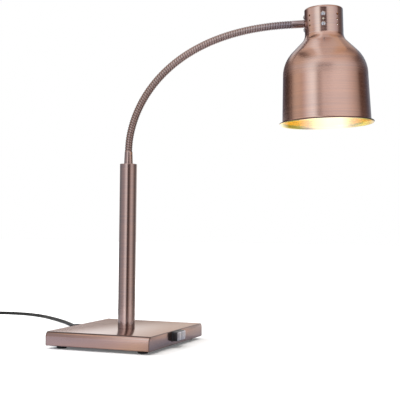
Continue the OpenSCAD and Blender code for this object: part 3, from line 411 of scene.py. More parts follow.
cord_black = rubber("cord_black_rubber", (0.018, 0.018, 0.017), Roughness=0.5, Specular_IOR_Level=0.22)
cord_d = 7.0
coil_centre, coil_r_out, coil_pitch, coil_in, coil_turns = np.array([-660.0, 267.0]), 50.0, 7.5, 2.5, 5.25
turns = np.arange(int(coil_turns * 24) + 1) / 24
coil_r = coil_r_out - coil_pitch * (coil_in + 0.25 - np.abs(turns - coil_in - 0.25))
coil_z = cord_d / 2 + 1 + coil_pitch * np.clip((turns - coil_in) * 2, 0, 1)
angle = np.radians(110 + 360 * turns)
coil = np.column_stack([coil_centre[0] + coil_r * np.cos(angle),
                        coil_centre[1] + coil_r * np.sin(angle), coil_z])
run = np.array([
    (-277, 86, 15), (-284, 86, 15), (-296, 88, 14.5), (-312, 97, 12), (-321, 111, 8.5), (-328, 127, 5.5),
    (-334, 144, 4), (-343, 159, 3.5), (-353, 174, 3.5), (-364, 187, 3.5), (-376, 200, 3.5),
    (-388, 213, 3.5), (-400, 225, 3.5), (-413, 237, 3.5), (-426, 249, 3.5), (-440, 261, 3.5),
    (-453, 272, 3.5), (-467, 283, 3.5), (-481, 294, 3.5), (-495, 304, 3.5), (-510, 313, 3.5),
    (-526, 321, 3.5), (-542, 328, 3.5), (-559, 333, 3.5), (-576, 336, 3.5), (-594, 336, 3.5),
    (-611, 335, 3.5), (-629, 331, 3.5), (-645, 326, 3.9), (-662, 320, 4.3)])
tail = np.array([(-700, 235, 12.5), (-696, 221, 14), (-693, 206, 16), (-692, 190, 18.5)])
cord_line = through(np.vstack([run, coil, tail]), 3)
mains_cord = piece("mains_cord", skin("mains_cord", closed(hose(cord_line, cord_d / 2, 20))), cord_black,
                   "black_rubber", "base", "cord_run", "cord_coil", "cord_tail")


# Plug and its two pins: a moulded two-pin plug with a grooved tail, ribbed grip and a flat face,
# drawn along -Y. The side notches are where the earth springs sit.
def placed(points, place):
    """Points carried by a 4 by 4 matrix."""
    return points @ place[:3, :3].T + place[:3, 3]


def turned(profile, place, sides=64):
    """Grid of points of a turned shape: profile points (radius, height) carried round the Z axis,
    then put in place by a 4 by 4 matrix. All in millimetres."""
    profile = np.asarray(profile, float)
    angle = np.linspace(0, 2 * np.pi, sides, endpoint=False)
    flat = np.stack(np.broadcast_arrays(profile[:, :1] * np.cos(angle), profile[:, :1] * np.sin(angle),
                                        profile[:, 1:]), -1)
    return placed(flat, place)


def moved(x=0.0, y=0.0, z=0.0):
    """4 by 4 matrix that moves by x, y and z."""
    place = np.eye(4)
    place[:3, 3] = x, y, z
    return place


def swung(axis, degrees):
    """4 by 4 matrix that turns about X, Y or Z."""
    return np.array(Matrix.Rotation(np.radians(degrees), 4, axis))


def joined(name, *meshes):
    """One mesh out of several: their faces side by side."""
    work = bmesh.new()
    for mesh in meshes:
        work.from_mesh(mesh)
    result = bpy.data.meshes.new(name)
    work.to_mesh(result)
    work.free()
    return result


def arc(cx, cz, r, first, last, steps):
    """Points (radius, height) along an arc about a centre, from the first to the last angle."""
    a = np.radians(np.linspace(first, last, steps + 1))
    return np.column_stack([cx + r * np.cos(a), cz + r * np.sin(a)])


plug_place = moved(-692, 190, 18.5) @ swung("X", 90)
plug_tail, plug_body_l, plug_r = 28.0, 34.0, 18.2
neck_z = np.linspace(0, plug_tail, 57)
groove = 0.55 * (np.abs((neck_z % 5.6) / 5.6 - 0.5) < 0.16) * (neck_z > 4) * (neck_z < 25)
plug_line = np.vstack([
    np.column_stack([4.3 + 2.2 * neck_z / plug_tail - groove, neck_z]),
    arc(10.5, plug_tail + 1.2, 1.2, -90, -35, 4), arc(plug_r - 3, plug_tail + 10.5, 3, -35, 0, 6),
    np.column_stack([plug_r - 0.45 * (np.arange(40) % 5 > 2),
                     np.linspace(plug_tail + 11, plug_tail + 22, 40)]),
    arc(plug_r - 1.4, plug_tail + plug_body_l - 1.4, 1.4, 0, 90, 6)])
shell = turned(plug_line, np.eye(4), 96)
turn = np.arctan2(shell[..., 1], shell[..., 0])
off_middle = np.hypot(shell[..., 0], shell[..., 1])
in_notch = (np.abs(np.sin(turn)) > 0.975) & (shell[..., 2] > plug_tail + 17) & (off_middle > 12)
shell[..., 1] = np.where(in_notch, np.sign(shell[..., 1]) * 16.0, shell[..., 1])
plug_black = rubber("plug_black_plastic", (0.026, 0.026, 0.028), Roughness=0.38)
plug = piece("plug", skin("plug", placed(closed(shell), plug_place)), plug_black,
             "black_rubber", "base", "plug_body")
pins = [skin("pin", closed(turned(np.vstack([[(1.8, -12), (1.8, 0), (2.38, 0), (2.4, 0.3), (2.4, 17)],
        arc(0.9, 17.2, 1.5, 0, 70, 5)]), plug_place @ moved(s * 9.5, 0, plug_tail + plug_body_l), 32)))
        for s in (-1, 1)]


def plated(name, colour, rough):
    """Plain plated or pressed metal: faint cloudy marks in its gloss and shade, fine rubs on it."""
    material, tree, shader = finish(name, colour, Metallic=1.0, Roughness=rough)
    place = on_piece(tree)
    marks = clouds(place, 700.0, 4.0)
    stain = clouds(place, 60.0, 2.0)
    dull = tuple(c * 0.78 for c in colour) + (1,)
    feed(shader, "Base Color", mixed(spread(stain, 0.4, 0.8), (*colour, 1), dull))
    feed(shader, "Roughness", spread(marks, 0.3, 0.7, rough - 0.05, rough + 0.1))
    bumped(shader, marks, 0.15, 0.00005)
    return material


brass = plated("turned_brass", (0.72, 0.5, 0.2), 0.28)
plug_pins = piece("plug_pins_pair", joined("plug_pins_pair", *pins), brass, "brass", "base", "plug_pins")


# Cord tie: a flat strap of soft black plastic round the coil, which keeps its turns together. It is
# closed with a lap over its own end.
tie_in, tie_out, tie_top, tie_t, tie_r = 25.25, 55.0, 15.8, 0.7, 3.2


def rounded(x0, x1, z0, z1, r, steps):
    """Outline of a box with rounded corners, from its lower right corner round."""
    return np.vstack([arc(x1 - r, z0 + r, r, -90, 0, steps), arc(x1 - r, z1 - r, r, 0, 90, steps),
                      arc(x0 + r, z1 - r, r, 90, 180, steps), arc(x0 + r, z0 + r, r, 180, 270, steps)])


def strap_loop(inset):
    """Rounded box round the coil's section, moved inwards by a wall: points (distance, height)."""
    return rounded(tie_in - tie_t + inset, tie_out + tie_t - inset, inset, tie_top + tie_t - inset,
                   tie_r - inset, 10)


loops = [strap_loop(w) for w in (0.1, 0.0, 0.0, 0.1, tie_t - 0.1, tie_t, tie_t, tie_t - 0.1)]
lanes = (-4.0, -3.9, 3.9, 4.0, 4.0, 3.9, -3.9, -4.0)
strap = np.stack([np.column_stack([p[:, 0], np.full(len(p), w), p[:, 1]]) for p, w in zip(loops, lanes)])
tie_place = moved(*coil_centre, 0) @ swung("Z", 20)
cord_strap = piece("cord_strap", skin("cord_strap", placed(strap, tie_place), rows_close=True),
                   rubber("strap_black", (0.03, 0.03, 0.034), Roughness=0.7),
                   "black_plastic", "base", "cord_tie")


# Strain relief: a tapered black rubber sleeve with cut grooves, which keeps the cord from kinking
# where it goes through the base's left end.
relief = [(7.9, 0.0), (8.0, 0.3), (8.0, 2.1), (7.6, 2.5), (6.3, 2.5)]
relief_s = np.linspace(3, 35.4, 109)
rib = ((relief_s - 3) % 5 > 3.2) & (relief_s > 6) & (relief_s < 34)
relief_r = 6.0 + (4.4 - 6.0) * relief_s / 36
relief += list(zip(np.where(rib, np.minimum(relief_r, 4.45), relief_r), relief_s))
relief += [(4.2, 35.9), (3.9, 36.0), (3.55, 36.0), (3.55, -5.2), (8.0, -5.2), (8.0, -1.3), (6.0, -1.3),
           (6.0, 0.0)]
relief_place = moved(-241, 86, 15) @ swung("Y", -90)


def lathed(name, line, place, sides, *about):
    """Piece whose closed outline, points (radius, height), is turned; what it is about goes to piece."""
    return piece(name, skin(name, turned(line, place, sides), rows_close=True), *about)


lathed("relief_sleeve", relief, relief_place, 48,
       rubber("relief_black_rubber", (0.02, 0.02, 0.021), Roughness=0.5),
       "black_rubber", "base", "strain_relief")


# Base: a folded sheet steel cover with round bends along its front and back, and two end plates
# set flush in it. It is plated in a copper colour and brushed along its width.
def brushed(name, colour, rough, grain, tint=(1.06, 1.0, 0.94), axis=None, hub=None):
    """Brushed and plated metal. grain is how quickly the brush lines change along X, Y and Z, in
    lines per metre, after a turn about axis and hub; the lines vary its shade, gloss and surface."""
    material, tree, shader = finish(name, colour, Metallic=1.0, Roughness=rough)
    place = on_piece(tree)
    if hub is not None:
        place = node(tree, "Mapping", {"Vector": place, "Location": hub, "Rotation": axis}).outputs[0]
    lines = node(tree, "Mapping", {"Vector": place, "Scale": grain}).outputs[0]
    fine = clouds(lines, 1.0, 3.0, Roughness=0.7)
    wide = node(tree, "Mapping", {"Vector": place, "Scale": tuple(g * 0.22 for g in grain)}).outputs[0]
    soft = clouds(wide, 1.0, 2.0)
    both = worked("ADD", fine, soft)
    dark = tuple(c * 0.96 for c in colour) + (1,)
    pale = tuple(min(1, c * 1.04 * t) for c, t in zip(colour, tint)) + (1,)
    feed(shader, "Base Color", mixed(spread(both, 0.75, 1.25), dark, pale))
    feed(shader, "Roughness", spread(fine, 0.3, 0.7, rough - 0.03, rough + 0.05))
    bumped(shader, fine, 0.05, 0.00004)
    return material, shader, place


base_x0, base_x1, base_y0, base_y1, base_z0, base_z1 = -241.0, -51.0, -124.0, 116.0, 5.0, 29.0
sheet_t, top_r, low_r = 1.2, 8.0, 3.0


def side_line(inset, steps=12):
    """Outline of the base from the side, inset by a distance: points (y, z) from the lower back
    bend round the back, top and front to the lower front bend."""
    r, q = top_r - inset, low_r - inset
    return np.vstack([arc(base_y1 - low_r, base_z0 + low_r, q, -90, 0, steps),
                      arc(base_y1 - top_r, base_z1 - top_r, r, 0, 90, steps),
                      arc(base_y0 + top_r, base_z1 - top_r, r, 90, 180, steps),
                      arc(base_y0 + low_r, base_z0 + low_r, q, 180, 270, steps)])


def stood(outline, x):
    """Outline points (y, z) stood up at a place along X."""
    return np.column_stack([np.full(len(outline), x), outline])


def two_tone(mesh, is_second, first, second):
    """Gives a mesh two materials: the second goes on the faces where is_second is true."""
    mesh.polygons.foreach_set("material_index", is_second.astype(np.int32))
    mesh.materials.append(first)
    mesh.materials.append(second)


copper_base = brushed("base_copper_plate", (0.50, 0.335, 0.285), 0.17, (14.0, 1500.0, 1500.0))[0]
cover_line = np.vstack([side_line(0), side_line(sheet_t)[::-1]])
cover_xs = (base_x0 + sheet_t + 0.12, base_x0 + sheet_t + 0.3,
            base_x1 - sheet_t - 0.3, base_x1 - sheet_t - 0.12)
middle = np.vstack([side_line(sheet_t / 2), side_line(sheet_t / 2)[::-1]])
cover_rows = np.stack([stood(cover_line * (1 - k) + middle * k, cover_xs[i])
                       for i, k in zip((0, 0, 1, 2, 3, 3), (1, 0.12, 0, 0, 0.12, 1))])
folded = skin("folded_cover", cover_rows)
# Painted shade: a dark line is painted along the upper bends and round the rounded edges of the end plates,
# in place of the dark reflections they show
painted_shade_copper = brushed("base_copper_painted_shade", (0.17, 0.105, 0.09), 0.3, (14.0, 1500.0, 1500.0))[0]
around = np.arange(len(folded.polygons)) % len(cover_line)
painted_line_faces = np.r_[21:25, 27:31]
two_tone(folded, np.isin(around, painted_line_faces), copper_base, painted_shade_copper)
piece("folded_cover", folded, None, "copper_sheet", "base", "base_cover")


def cut(made, *tools):
    """Takes the tools' solids out of a piece and removes the tools."""
    for tool in tools:
        cutter = bpy.data.objects.new("cutter", tool)
        bpy.context.scene.collection.objects.link(cutter)
        work = made.modifiers.new("cut", "BOOLEAN")
        work.operation, work.solver, work.object = "DIFFERENCE", "EXACT", cutter
        bpy.context.view_layer.update()
        result = bpy.data.meshes.new_from_object(made.evaluated_get(bpy.context.evaluated_depsgraph_get()))
        made.modifiers.clear()
        made.data = result
        bpy.data.objects.remove(cutter)
    made.data.set_sharp_from_angle(angle=np.radians(32))


def end_plate(name, face_x, out, cad_node, tool):
    """Flush end plate: its face at face_x with softened edges, 1.2 mm thick, with a cut in it."""
    steps = np.radians(np.linspace(0, 90, 6))
    insets = np.concatenate([[0.9, 0.0], 1.0 * (1 - np.cos(steps))])
    depths = np.concatenate([[sheet_t, sheet_t], 1.0 * (1 - np.sin(steps))])
    rows = closed(np.stack([stood(side_line(i), face_x - out * d) for i, d in zip(insets, depths)]))
    plate = skin(name, rows)
    step = np.arange(len(plate.polygons)) // rows.shape[1]
    # The rounded edge of the plate gets the painted shade line
    two_tone(plate, (step > 1) & (step < 6), copper_base, painted_shade_copper)
    cut(piece(name, plate, None, "copper_sheet", "base", cad_node), tool)


def block(x0, x1, y0, y1, z0, z1):
    """Plain box mesh for a cutter, in millimetres."""
    ring = np.array([(x0, y0), (x1, y0), (x1, y1), (x0, y1)], float)
    rows = np.stack([np.column_stack([ring, np.full(4, z)]) for z in (z0, z1)])
    return cleaned(skin("box", closed(rows)), 1e-6)


def rod(r, low, high, place, sides=32):
    """Plain rod mesh for a cutter."""
    return cleaned(skin("rod", closed(turned([(r, low), (r, high)], place, sides))), 1e-6)


switch_y, switch_z, hole_y, hole_z = -9.5, 19.7, 15.1, 7.55
end_plate("left_plate", base_x0, -1, "left_end_plate", rod(6.05, -3, 3, relief_place))
end_plate("right_plate", base_x1, 1, "right_end_plate", block(
    base_x1 - 3, base_x1 + 2, switch_y - hole_y, switch_y + hole_y, switch_z - hole_z, switch_z + hole_z))


# Feet: four pads of moulded black rubber, a little waisted, which carry the base. Each is held by
# a dome-head screw in its recess.
foot_black = rubber("foot_black_rubber", (0.018, 0.018, 0.018), Roughness=0.6)
foot_line = np.vstack([[(2.3, 3.3), (4.7, 3.3), (4.7, 0.3)], arc(5.0, 0.3, 0.3, 180, 270, 3),
                       arc(7.6, 0.7, 0.7, -90, -10, 5),
                       [(8.5, 2.2), (8.75, 3.6), (9.0, 4.9), (8.9, 5.0), (2.3, 5.0)]])
feet = [skin("foot", turned(foot_line, moved(px, py, 0), 48), rows_close=True)
        for px in (-221, -71) for py in (-104, 96)]
piece("foot_pads", joined("foot_pads", *feet), foot_black, "black_rubber", "base", "rubber_feet")


# Hidden steel and iron inside the base: bottom plate, ballast slab, posts, pipe, washer and nuts
# stay as the part has them, with their own plating or raw cast skin.
def dress(material, *names):
    """Gives CAD nodes a material."""
    for name in names:
        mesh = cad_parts[name].data
        if not mesh.materials:
            mesh.materials.append(material)
        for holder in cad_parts[name].material_slots:
            holder.material = material


zinc = plated("zinc_plate", (0.62, 0.63, 0.65), 0.3)
dress(zinc, "bottom_plate", "foot_screws", "foot_posts", "foot_plug", "foot_pipe", "foot_washer", "foot_nut",
      "holder_screws")
iron, tree, shader = finish("raw_cast_iron", (0.09, 0.09, 0.095), Metallic=0.7, Roughness=0.7)
lumps = clouds(on_piece(tree), 320.0, 5.0)
skin_shade = mixed(spread(lumps, 0.35, 0.7), (0.06, 0.06, 0.065, 1), (0.14, 0.135, 0.13, 1))
feed(shader, "Base Color", skin_shade)
bumped(shader, lumps, 0.6, 0.0004)
dress(iron, "ballast_slab")
dress(rubber("inner_cord_rubber", (0.024, 0.024, 0.024), Roughness=0.45), "cord_inner")
dress(rubber("cream_nylon", (0.74, 0.70, 0.58), grain=500.0, Roughness=0.45), "cord_clamp", "terminal_block")
dress(rubber("brown_sleeve", (0.20, 0.085, 0.04), Roughness=0.4), "base_leads")
dress(rubber("glass_fibre_sleeve", (0.70, 0.68, 0.62), grain=1500.0, Roughness=0.75),
      "column_lead", "head_leads")
dress(brass, "earth_stud", "switch_tabs", "holder_shell", "holder_contact")


# Switch: a black rocker switch pressed into the right plate, under a clear rubber boot that keeps
# splashes out. The rocker tips about an upright pin, with its front end pressed in.
switch_black = rubber("switch_black_plastic", (0.016, 0.016, 0.017), grain=1200.0, Roughness=0.3)
dress(switch_black, "switch_body")


def loop(half_y, half_z, r, x, steps=8):
    """Rounded rectangle facing X, centred on the switch: points (x, y, z)."""
    ring = rounded(-half_y, half_y, -half_z, half_z, r, steps)
    return stood(ring + (switch_y, switch_z), base_x1 + x)


well = (13.5, 5.9, 0.3)
frame_rows = np.stack([loop(20.5, 8.7, 2, 0), loop(20.5, 8.7, 2, 1.2), loop(20.3, 8.5, 2, 1.6),
                       loop(19.9, 8.1, 1.8, 1.8), loop(*well, 1.8), loop(*well, 0)])
piece("switch_surround", skin("switch_surround", frame_rows, rows_close=True), switch_black, "black_plastic",
      "base", "switch_frame")
tilt = moved(-2.5) @ swung("Z", -10)
half, high, bevel = 12.2, 5.6, 0.35
face_y = np.linspace(-half, half, 33)
dish = 3.45 + 0.1763 * np.abs(face_y)
outline = np.vstack([np.column_stack([dish, face_y]),
                     [(-0.5, half), (-3.5, half - 3), (-3.5, -half + 3), (-0.5, -half)]])
inner = outline * (0.93, 0.975)
rocker_rows = np.stack([np.column_stack([o, np.full(len(o), lift)]) for o, lift in
                        ((inner, -high), (outline, bevel - high), (outline, high - bevel), (inner, high))])
rocker_rows = placed(rocker_rows, tilt) + (base_x1, switch_y, switch_z)
piece("rocker", skin("rocker", closed(rocker_rows)), switch_black, "black_plastic", "rocker", "switch_rocker")

boot_clear, tree, shader = finish("boot_clear_rubber", (0.82, 0.80, 0.88), Roughness=0.12, IOR=1.42,
                                  Transmission_Weight=0.45, Coat_Weight=0.4, Coat_Roughness=0.05)
place = on_piece(tree)
haze = clouds(place, 260.0, 3.0)
_, y, z = xyz(place)
# Painted reflections: from front to back the boot's colour has dark and pale strips, and its top edge is less
# clear
painted_reflection_strips = bands(y, -0.0285, 0.0095, [
    (-0.0285, 34, 31, 34), (-0.023, 44, 40, 44), (-0.019, 50, 46, 50), (-0.0165, 100, 96, 100),
    (-0.0135, 62, 58, 64), (-0.008, 38, 36, 40), (-0.003, 80, 76, 84), (0.001, 50, 47, 52),
    (0.005, 100, 95, 100), (0.0095, 80, 76, 86)])
milky = spread(haze, 0.35, 0.7, 0.0, 0.3)
feed(shader, "Base Color", mixed(milky, painted_reflection_strips, (0.92, 0.90, 0.96, 1)))
top_edge = (switch_z + np.array([5.0, 6.4])) / 1000
feed(shader, "Transmission Weight", spread(z, *top_edge, 0.45, 0.1))
feed(shader, "Roughness", spread(haze, 0.3, 0.7, 0.08, 0.22))
bumped(shader, haze, 0.3, 0.0002)


def bowed(half_y, half_z, r, bow, foot, rise):
    """Rings of a boot's wall over its bowed edge, from its straight side to its flat face."""
    return [loop(half_y - bow * (1 - np.cos(a)), half_z - bow * (1 - np.cos(a)), r - 0.6 * np.sin(a),
                 foot + rise * np.sin(a)) for a in np.radians(np.linspace(0, 90, 7))]


boot_foot, clear_from = 1.85, 9.3
outer = bowed(19, 7.9, 2.5, 2.2, 7.6, 2.4)[::-1] + [loop(19, 7.9, 2.5, boot_foot)]
inner = [loop(18.1, 7, 2.1, boot_foot)] + bowed(18.1, 7, 2.1, 2, 6.9, 2.2)
boot = skin("splash_boot", closed(np.stack(outer + inner)))
middles = np.empty(len(boot.polygons) * 3)
boot.polygons.foreach_get("center", middles)
two_tone(boot, middles[::3] * 1000 < base_x1 + clear_from, boot_clear,
         rubber("boot_black_wall", (0.02, 0.018, 0.02), Roughness=0.35))
piece("splash_boot", boot, None, "clear_boot", "base", "switch_boot")

# Column: a 30 mm steel tube, plated as the base is and brushed round itself, screwed down onto the
# base. A plug closes its top, and the lower ferrule stands on that and holds the gooseneck.
column = moved(-140, -22, 0)
column_low, column_top = 29.0, 315.0
copper_tube = brushed("column_copper_plate", (0.46, 0.33, 0.295), 0.11, (30.0, 30.0, 1600.0))[0]
# A ring close to each end of a straight stretch keeps the light on it even
tube_line = np.vstack([
    [(13.5, column_low + 0.05), (14.7, column_low + 0.05), (15.0, column_low + 0.35),
     (15.0, column_low + 0.8), (15.0, column_top - 1.3), (15.0, column_top - 0.8)],
    arc(14.2, column_top - 0.8, 0.8, 0, 90, 5), [(13.5, column_top)]])
lathed("column", tube_line, column, 128, copper_tube, "copper_tube", "base", "column_tube")
cap_line = [(5.05, column_top - 12), (13.5, column_top - 12), (13.5, column_top - 0.5),
            (13.2, column_top - 0.2), (7.9, column_top - 0.2), (7.7, column_top - 0.5),
            (5.05, column_top - 0.5)]
lathed("column_end_plug", cap_line, column, 96, copper_tube, "copper_tube", "base", "column_cap")
ferrule_line = np.vstack([
    [(3.5, 306), (5, 306), (5, column_top), (7.4, column_top), (7.8, column_top + 0.4),
     (7.784, column_top + 0.8), (6.966, column_top + 20.2), (6.95, column_top + 20.6)],
    arc(6.0, column_top + 21.1, 0.9, 0, 90, 5),
    [(5.45, column_top + 22), (5.45, column_top + 6), (3.5, column_top + 6)]])
lathed("lower_sleeve", ferrule_line, column, 64, copper_tube, "copper_tube", "base", "lower_ferrule")


# Gooseneck: a hose wound from round and three-cornered wire, plated in the copper colour. It bends
# anywhere, so each stretch between two middles of links bends smoothly over one bending centre.
rib_pitch, link_l, first_l, last_l = 4.35, 43.5, 19.575, 28.275
bends = np.interp(np.arange(9), [0, 4, 8], [13.9, 10.2, 5.0])
leans = np.concatenate([[0], np.cumsum(bends)])
heading = np.radians(leans)
centres = [np.array([0.0, column_top + 22 + first_l])]
for k in range(1, 9):
    centres.append(centres[-1] + link_l * np.array([np.sin(heading[k]), np.cos(heading[k])]))
arm = column @ swung("Z", 11)


def hose_bend(k, before, after):
    """Middle line over bending centre k in the arm's plane: straight, an arc of a circle that
    touches both links, and straight again. Its points are about half a millimetre apart."""
    reach = min(before, after, link_l / 2)
    start, end = (np.array([np.sin(h), np.cos(h)]) for h in heading[k:k + 2])
    half = np.radians(bends[k]) / 2
    radius = reach / np.tan(half)
    hub = centres[k] - reach * start + radius * np.array([start[1], -start[0]])
    sweep = np.linspace(heading[k], heading[k + 1], 81)[:, None]
    curve = hub + radius * np.hstack([-np.cos(sweep), np.sin(sweep)])
    lead_in = centres[k] - start * np.linspace(before, reach, int((before - reach) * 2) + 2)[:-1, None]
    lead_out = centres[k] + end * np.linspace(reach, after, int((after - reach) * 2) + 2)[1:, None]
    return np.vstack([lead_in, curve, lead_out] if after > reach else [lead_in, curve])


copper_hose, tree, shader = finish("hose_copper_plate", (0.44, 0.32, 0.285), Metallic=1.0, Roughness=0.16)
place = on_piece(tree)
wear = clouds(place, 260.0, 4.0)
depth = node(tree, "Attribute", attribute_name="rib").outputs["Fac"]
# Painted shade: the grooves between the wire turns are darkened by their depth, and random wear lightens the
# plating
groove_painted_shade = mixed(spread(depth, 0.05, 0.6), (0.08, 0.048, 0.04, 1), (0.50, 0.36, 0.32, 1))
groove_shade_and_wear = mixed(spread(wear, 0.45, 0.8, 0, 0.35), groove_painted_shade, (0.58, 0.45, 0.41, 1))
# Painted shade: the colour is darkened and browner near the column, and darker towards mauve near the shade,
# in place of how the hose's reflections look there
x = xyz(place)[0]
painted_shade_tint = bands(x, -0.14, 0.17, [
    (-0.14, 72, 68, 66), (-0.12, 74, 71, 68), (-0.08, 80, 80, 79), (-0.05, 96, 96, 96),
    (0.0, 93, 93, 94), (0.06, 89, 93, 95), (0.09, 84, 90, 97), (0.118, 66, 74, 87), (0.135, 55, 62, 74),
    (0.17, 60, 67, 78)])
feed(shader, "Base Color", mixed(1.0, groove_shade_and_wear, painted_shade_tint, "MULTIPLY"))
feed(shader, "Roughness", spread(wear, 0.3, 0.7, 0.12, 0.2))

wound, hose_sides = 0.0, 48
for k in range(9):
    before = first_l if k == 0 else link_l / 2
    after = last_l if k == 8 else link_l / 2
    flat = hose_bend(k, before, after)
    gap = np.concatenate([[0], np.cumsum(np.linalg.norm(np.diff(flat, axis=0), axis=1))])
    s = np.linspace(0, gap[-1], int(round(gap[-1] / rib_pitch * 12)) + 1)
    flat = np.column_stack([np.interp(s, gap, flat[:, 0]), np.interp(s, gap, flat[:, 1])])
    line = placed(np.column_stack([flat[:, 0], np.zeros(len(s)), flat[:, 1]]), arm)
    # The winding: how far along it each point is, from 0 to 1 over a turn; the round wire is a half
    # circle over the first two thirds and the three-cornered wire fills the rest, lower down
    phase = (wound + s[:, None] / rib_pitch - np.arange(hose_sides)[None, :] / hose_sides) % 1
    round_wire = np.sqrt(np.clip(1 - ((phase - 0.36) / 0.36) ** 2, 0, 1))
    rib = np.where(phase < 0.72, round_wire, 0.42 * np.sin(np.pi * (phase - 0.72) / 0.28))
    radius = 5.75 + 0.8 * rib
    wound += gap[-1] / rib_pitch
    crossways = arm[:3, :3] @ [0, 1, 0]
    shell = closed(hose(line, radius, hose_sides, ref=tuple(crossways)))
    mesh = skin("hose_%d" % (k + 1), shell)
    rib_values = np.pad(rib, ((1, 1), (0, 0)))
    depths = mesh.attributes.new("rib", "FLOAT", "POINT")
    depths.data.foreach_set("value", rib_values.ravel().astype(np.float32))
    stands_for = ["gooseneck_%d" % (k + 1)] + (["gooseneck_10"] if k == 8 else [])
    made = piece("hose_%d" % (k + 1), mesh, copper_hose, "copper_hose", None, *stands_for, sharp=50)
    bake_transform(made)


# Upper ferrule: a turned and plated sleeve on the hose's end. Its threaded stub goes through the
# cap, where the arm's nut holds it.
last_link = arm @ moved(centres[8][0], 0, centres[8][1]) @ swung("Y", leans[9])
sleeve = last_link @ moved(0, 0, last_l)
upper_line = np.vstack([[(5.45, 14), (5.45, 0)], arc(6.0, 0.5, 0.5, 270, 360, 4),
                        arc(6.0, 21.5, 0.5, 0, 90, 4), [(5, 22), (5, 29.6), (3.5, 29.6), (3.5, 14)]])
sleeve_copper = brushed("sleeve_copper_plate", (0.34, 0.26, 0.255), 0.14, (30.0, 30.0, 1600.0))[0]
lathed("upper_sleeve", upper_line, sleeve, 64, sleeve_copper, "copper_tube", "head", "upper_ferrule")


# Shade: one spun aluminium bell, 1.2 mm thick, brushed round itself and anodised in a copper
# colour outside. Inside it is golden, with painted light near the mouth. The rim turns outwards and ends in a
# rolled bead.
head = last_link @ moved(0, 0, last_l + 22.05 + 32.5) @ swung("Y", -90)
cap_above, cap_r, edge_r, cap_wall, waist_r, shoulder_r = 23.5, 32.5, 3.0, 43.0, 20.0, 57.0
bell_r, mouth_r, flare_r, lip_angle, bell_h = 71.5, 74.5, 5.0, 80.0, 75.0
rim_z = cap_above - 195
waist_z = cap_above - cap_wall
taper = np.degrees(np.arctan2(mouth_r - bell_r, bell_h))
slope = np.sin(np.radians(45))
flank = (cap_r + waist_r * (1 - slope), waist_z - waist_r * slope)
shoulder = (bell_r - shoulder_r,
            flank[1] - (bell_r - shoulder_r + shoulder_r * slope - flank[0]) - shoulder_r * slope)


def shade_line(inset):
    """Profile of the shade from its top to its lip, moved inwards by a distance."""
    crown = np.column_stack([np.linspace(0, cap_r - edge_r, 14)[:-1], np.full(13, cap_above - inset)])
    parts = [arc(cap_r - edge_r, cap_above - edge_r, edge_r - inset, 90, 0, 8),
             arc(cap_r + waist_r, waist_z, waist_r + inset, 180, 225, 16),
             arc(*shoulder, shoulder_r - inset, 45, taper, 26),
             arc(mouth_r + flare_r, rim_z + flare_r, flare_r + inset, 180, 180 + lip_angle, 14)]
    wall = [np.linspace(parts[0][-1], parts[1][0], 30)[1:-1], np.linspace(parts[1][-1], parts[2][0], 6)[1:-1],
            np.linspace(parts[2][-1], parts[3][0], 20)[1:-1]]
    return np.vstack([crown, parts[0], wall[0], parts[1], wall[1], parts[2], wall[2], parts[3]])


outside, inside = shade_line(0.0), shade_line(1.2)
lip = outside[-1] + (0, 0.9)
bead = arc(*lip, 1.1, -85, 150, 14)
shade_sides, copper_rings = 192, 11
shade_rows = turned(np.vstack([outside[:-1], bead[::-1], inside[::-1]]), head, shade_sides)
shade_mesh = skin("bell_shade", shade_rows)
# The first rings of the bead belong to the copper outside, and the golden inside starts after them
is_inside = np.arange(len(shade_mesh.polygons)) // shade_sides >= len(outside) + copper_rings
to_head = np.linalg.inv(head)
head_brush = {"axis": tuple(Matrix(to_head.tolist()).to_euler("XYZ")), "hub": tuple(to_head[:3, 3] / 1000)}
copper_shade, shader, place = brushed("shade_copper_anodised", (0.54, 0.35, 0.29), 0.12,
                                      (22.0, 22.0, 1500.0), **head_brush)
# Painted shade: dark in the fold between the bell and its rolled edge
z = xyz(place)[2]
colour = shader.inputs["Base Color"].links[0].from_socket
painted_fold_shade = spread(z, (rim_z + 3.4) / 1000, (rim_z + 1.2) / 1000)
feed(shader, "Base Color", mixed(painted_fold_shade, colour, (0.16, 0.09, 0.08, 1)))
# The cap is polished brighter than the bell
gloss = shader.inputs["Roughness"].links[0].from_socket
below = worked("ADD", spread(z, -0.019, -0.026, 0.0, 0.07), gloss)
matt = worked("MULTIPLY", spread(z, -0.055, -0.075, 0.0, 0.1), spread(z, -0.1, -0.088))
feed(shader, "Roughness", worked("ADD", below, matt))
golden, shader, place = brushed("shade_golden_inside", (0.87, 0.60, 0.14), 0.26,
                                (16.0, 16.0, 1200.0), **head_brush)
# Painted light: near the mouth a glow is painted on in place of the lamp's own light on it, white, and least
# on the side of the arm
x, _, z = xyz(place)
lit = bands(x, -0.08, 0.08, [
    (-0.08, 90, 85, 80), (-0.074, 50, 48, 36), (-0.066, 16, 14, 0), (-0.05, 6, 14, 5),
    (-0.034, 24, 24, 34), (-0.02, 70, 70, 62), (0.0, 90, 92, 84), (0.025, 90, 92, 86),
    (0.042, 32, 36, 36), (0.062, 10, 19, 6), (0.074, 14, 12, 8), (0.08, 30, 30, 30)])
by_mouth = spread(z, rim_z / 1000 + 0.09, rim_z / 1000 + 0.04)
feed(shader, "Emission Color", mixed(by_mouth, (0, 0, 0, 1), lit))
shader.inputs["Emission Strength"].default_value = 1.0
# The painted glow is weaker where it is seen in a mirror or in metal
feed(shader, "Emission Strength", spread(in_mirror(shader.id_data), 0, 1, 1.0, 0.2))
two_tone(shade_mesh, is_inside, copper_shade, golden)
bell = piece("bell_shade", shade_mesh, None, "shade_metal", "head", "shade")


def cap_hole(angle, z, d):
    """Cutter for a hole through the cap's wall."""
    return rod(d / 2, cap_r - 6, cap_r + 4, head @ swung("Z", angle) @ moved(0, 0, z) @ swung("Y", 90), 32)


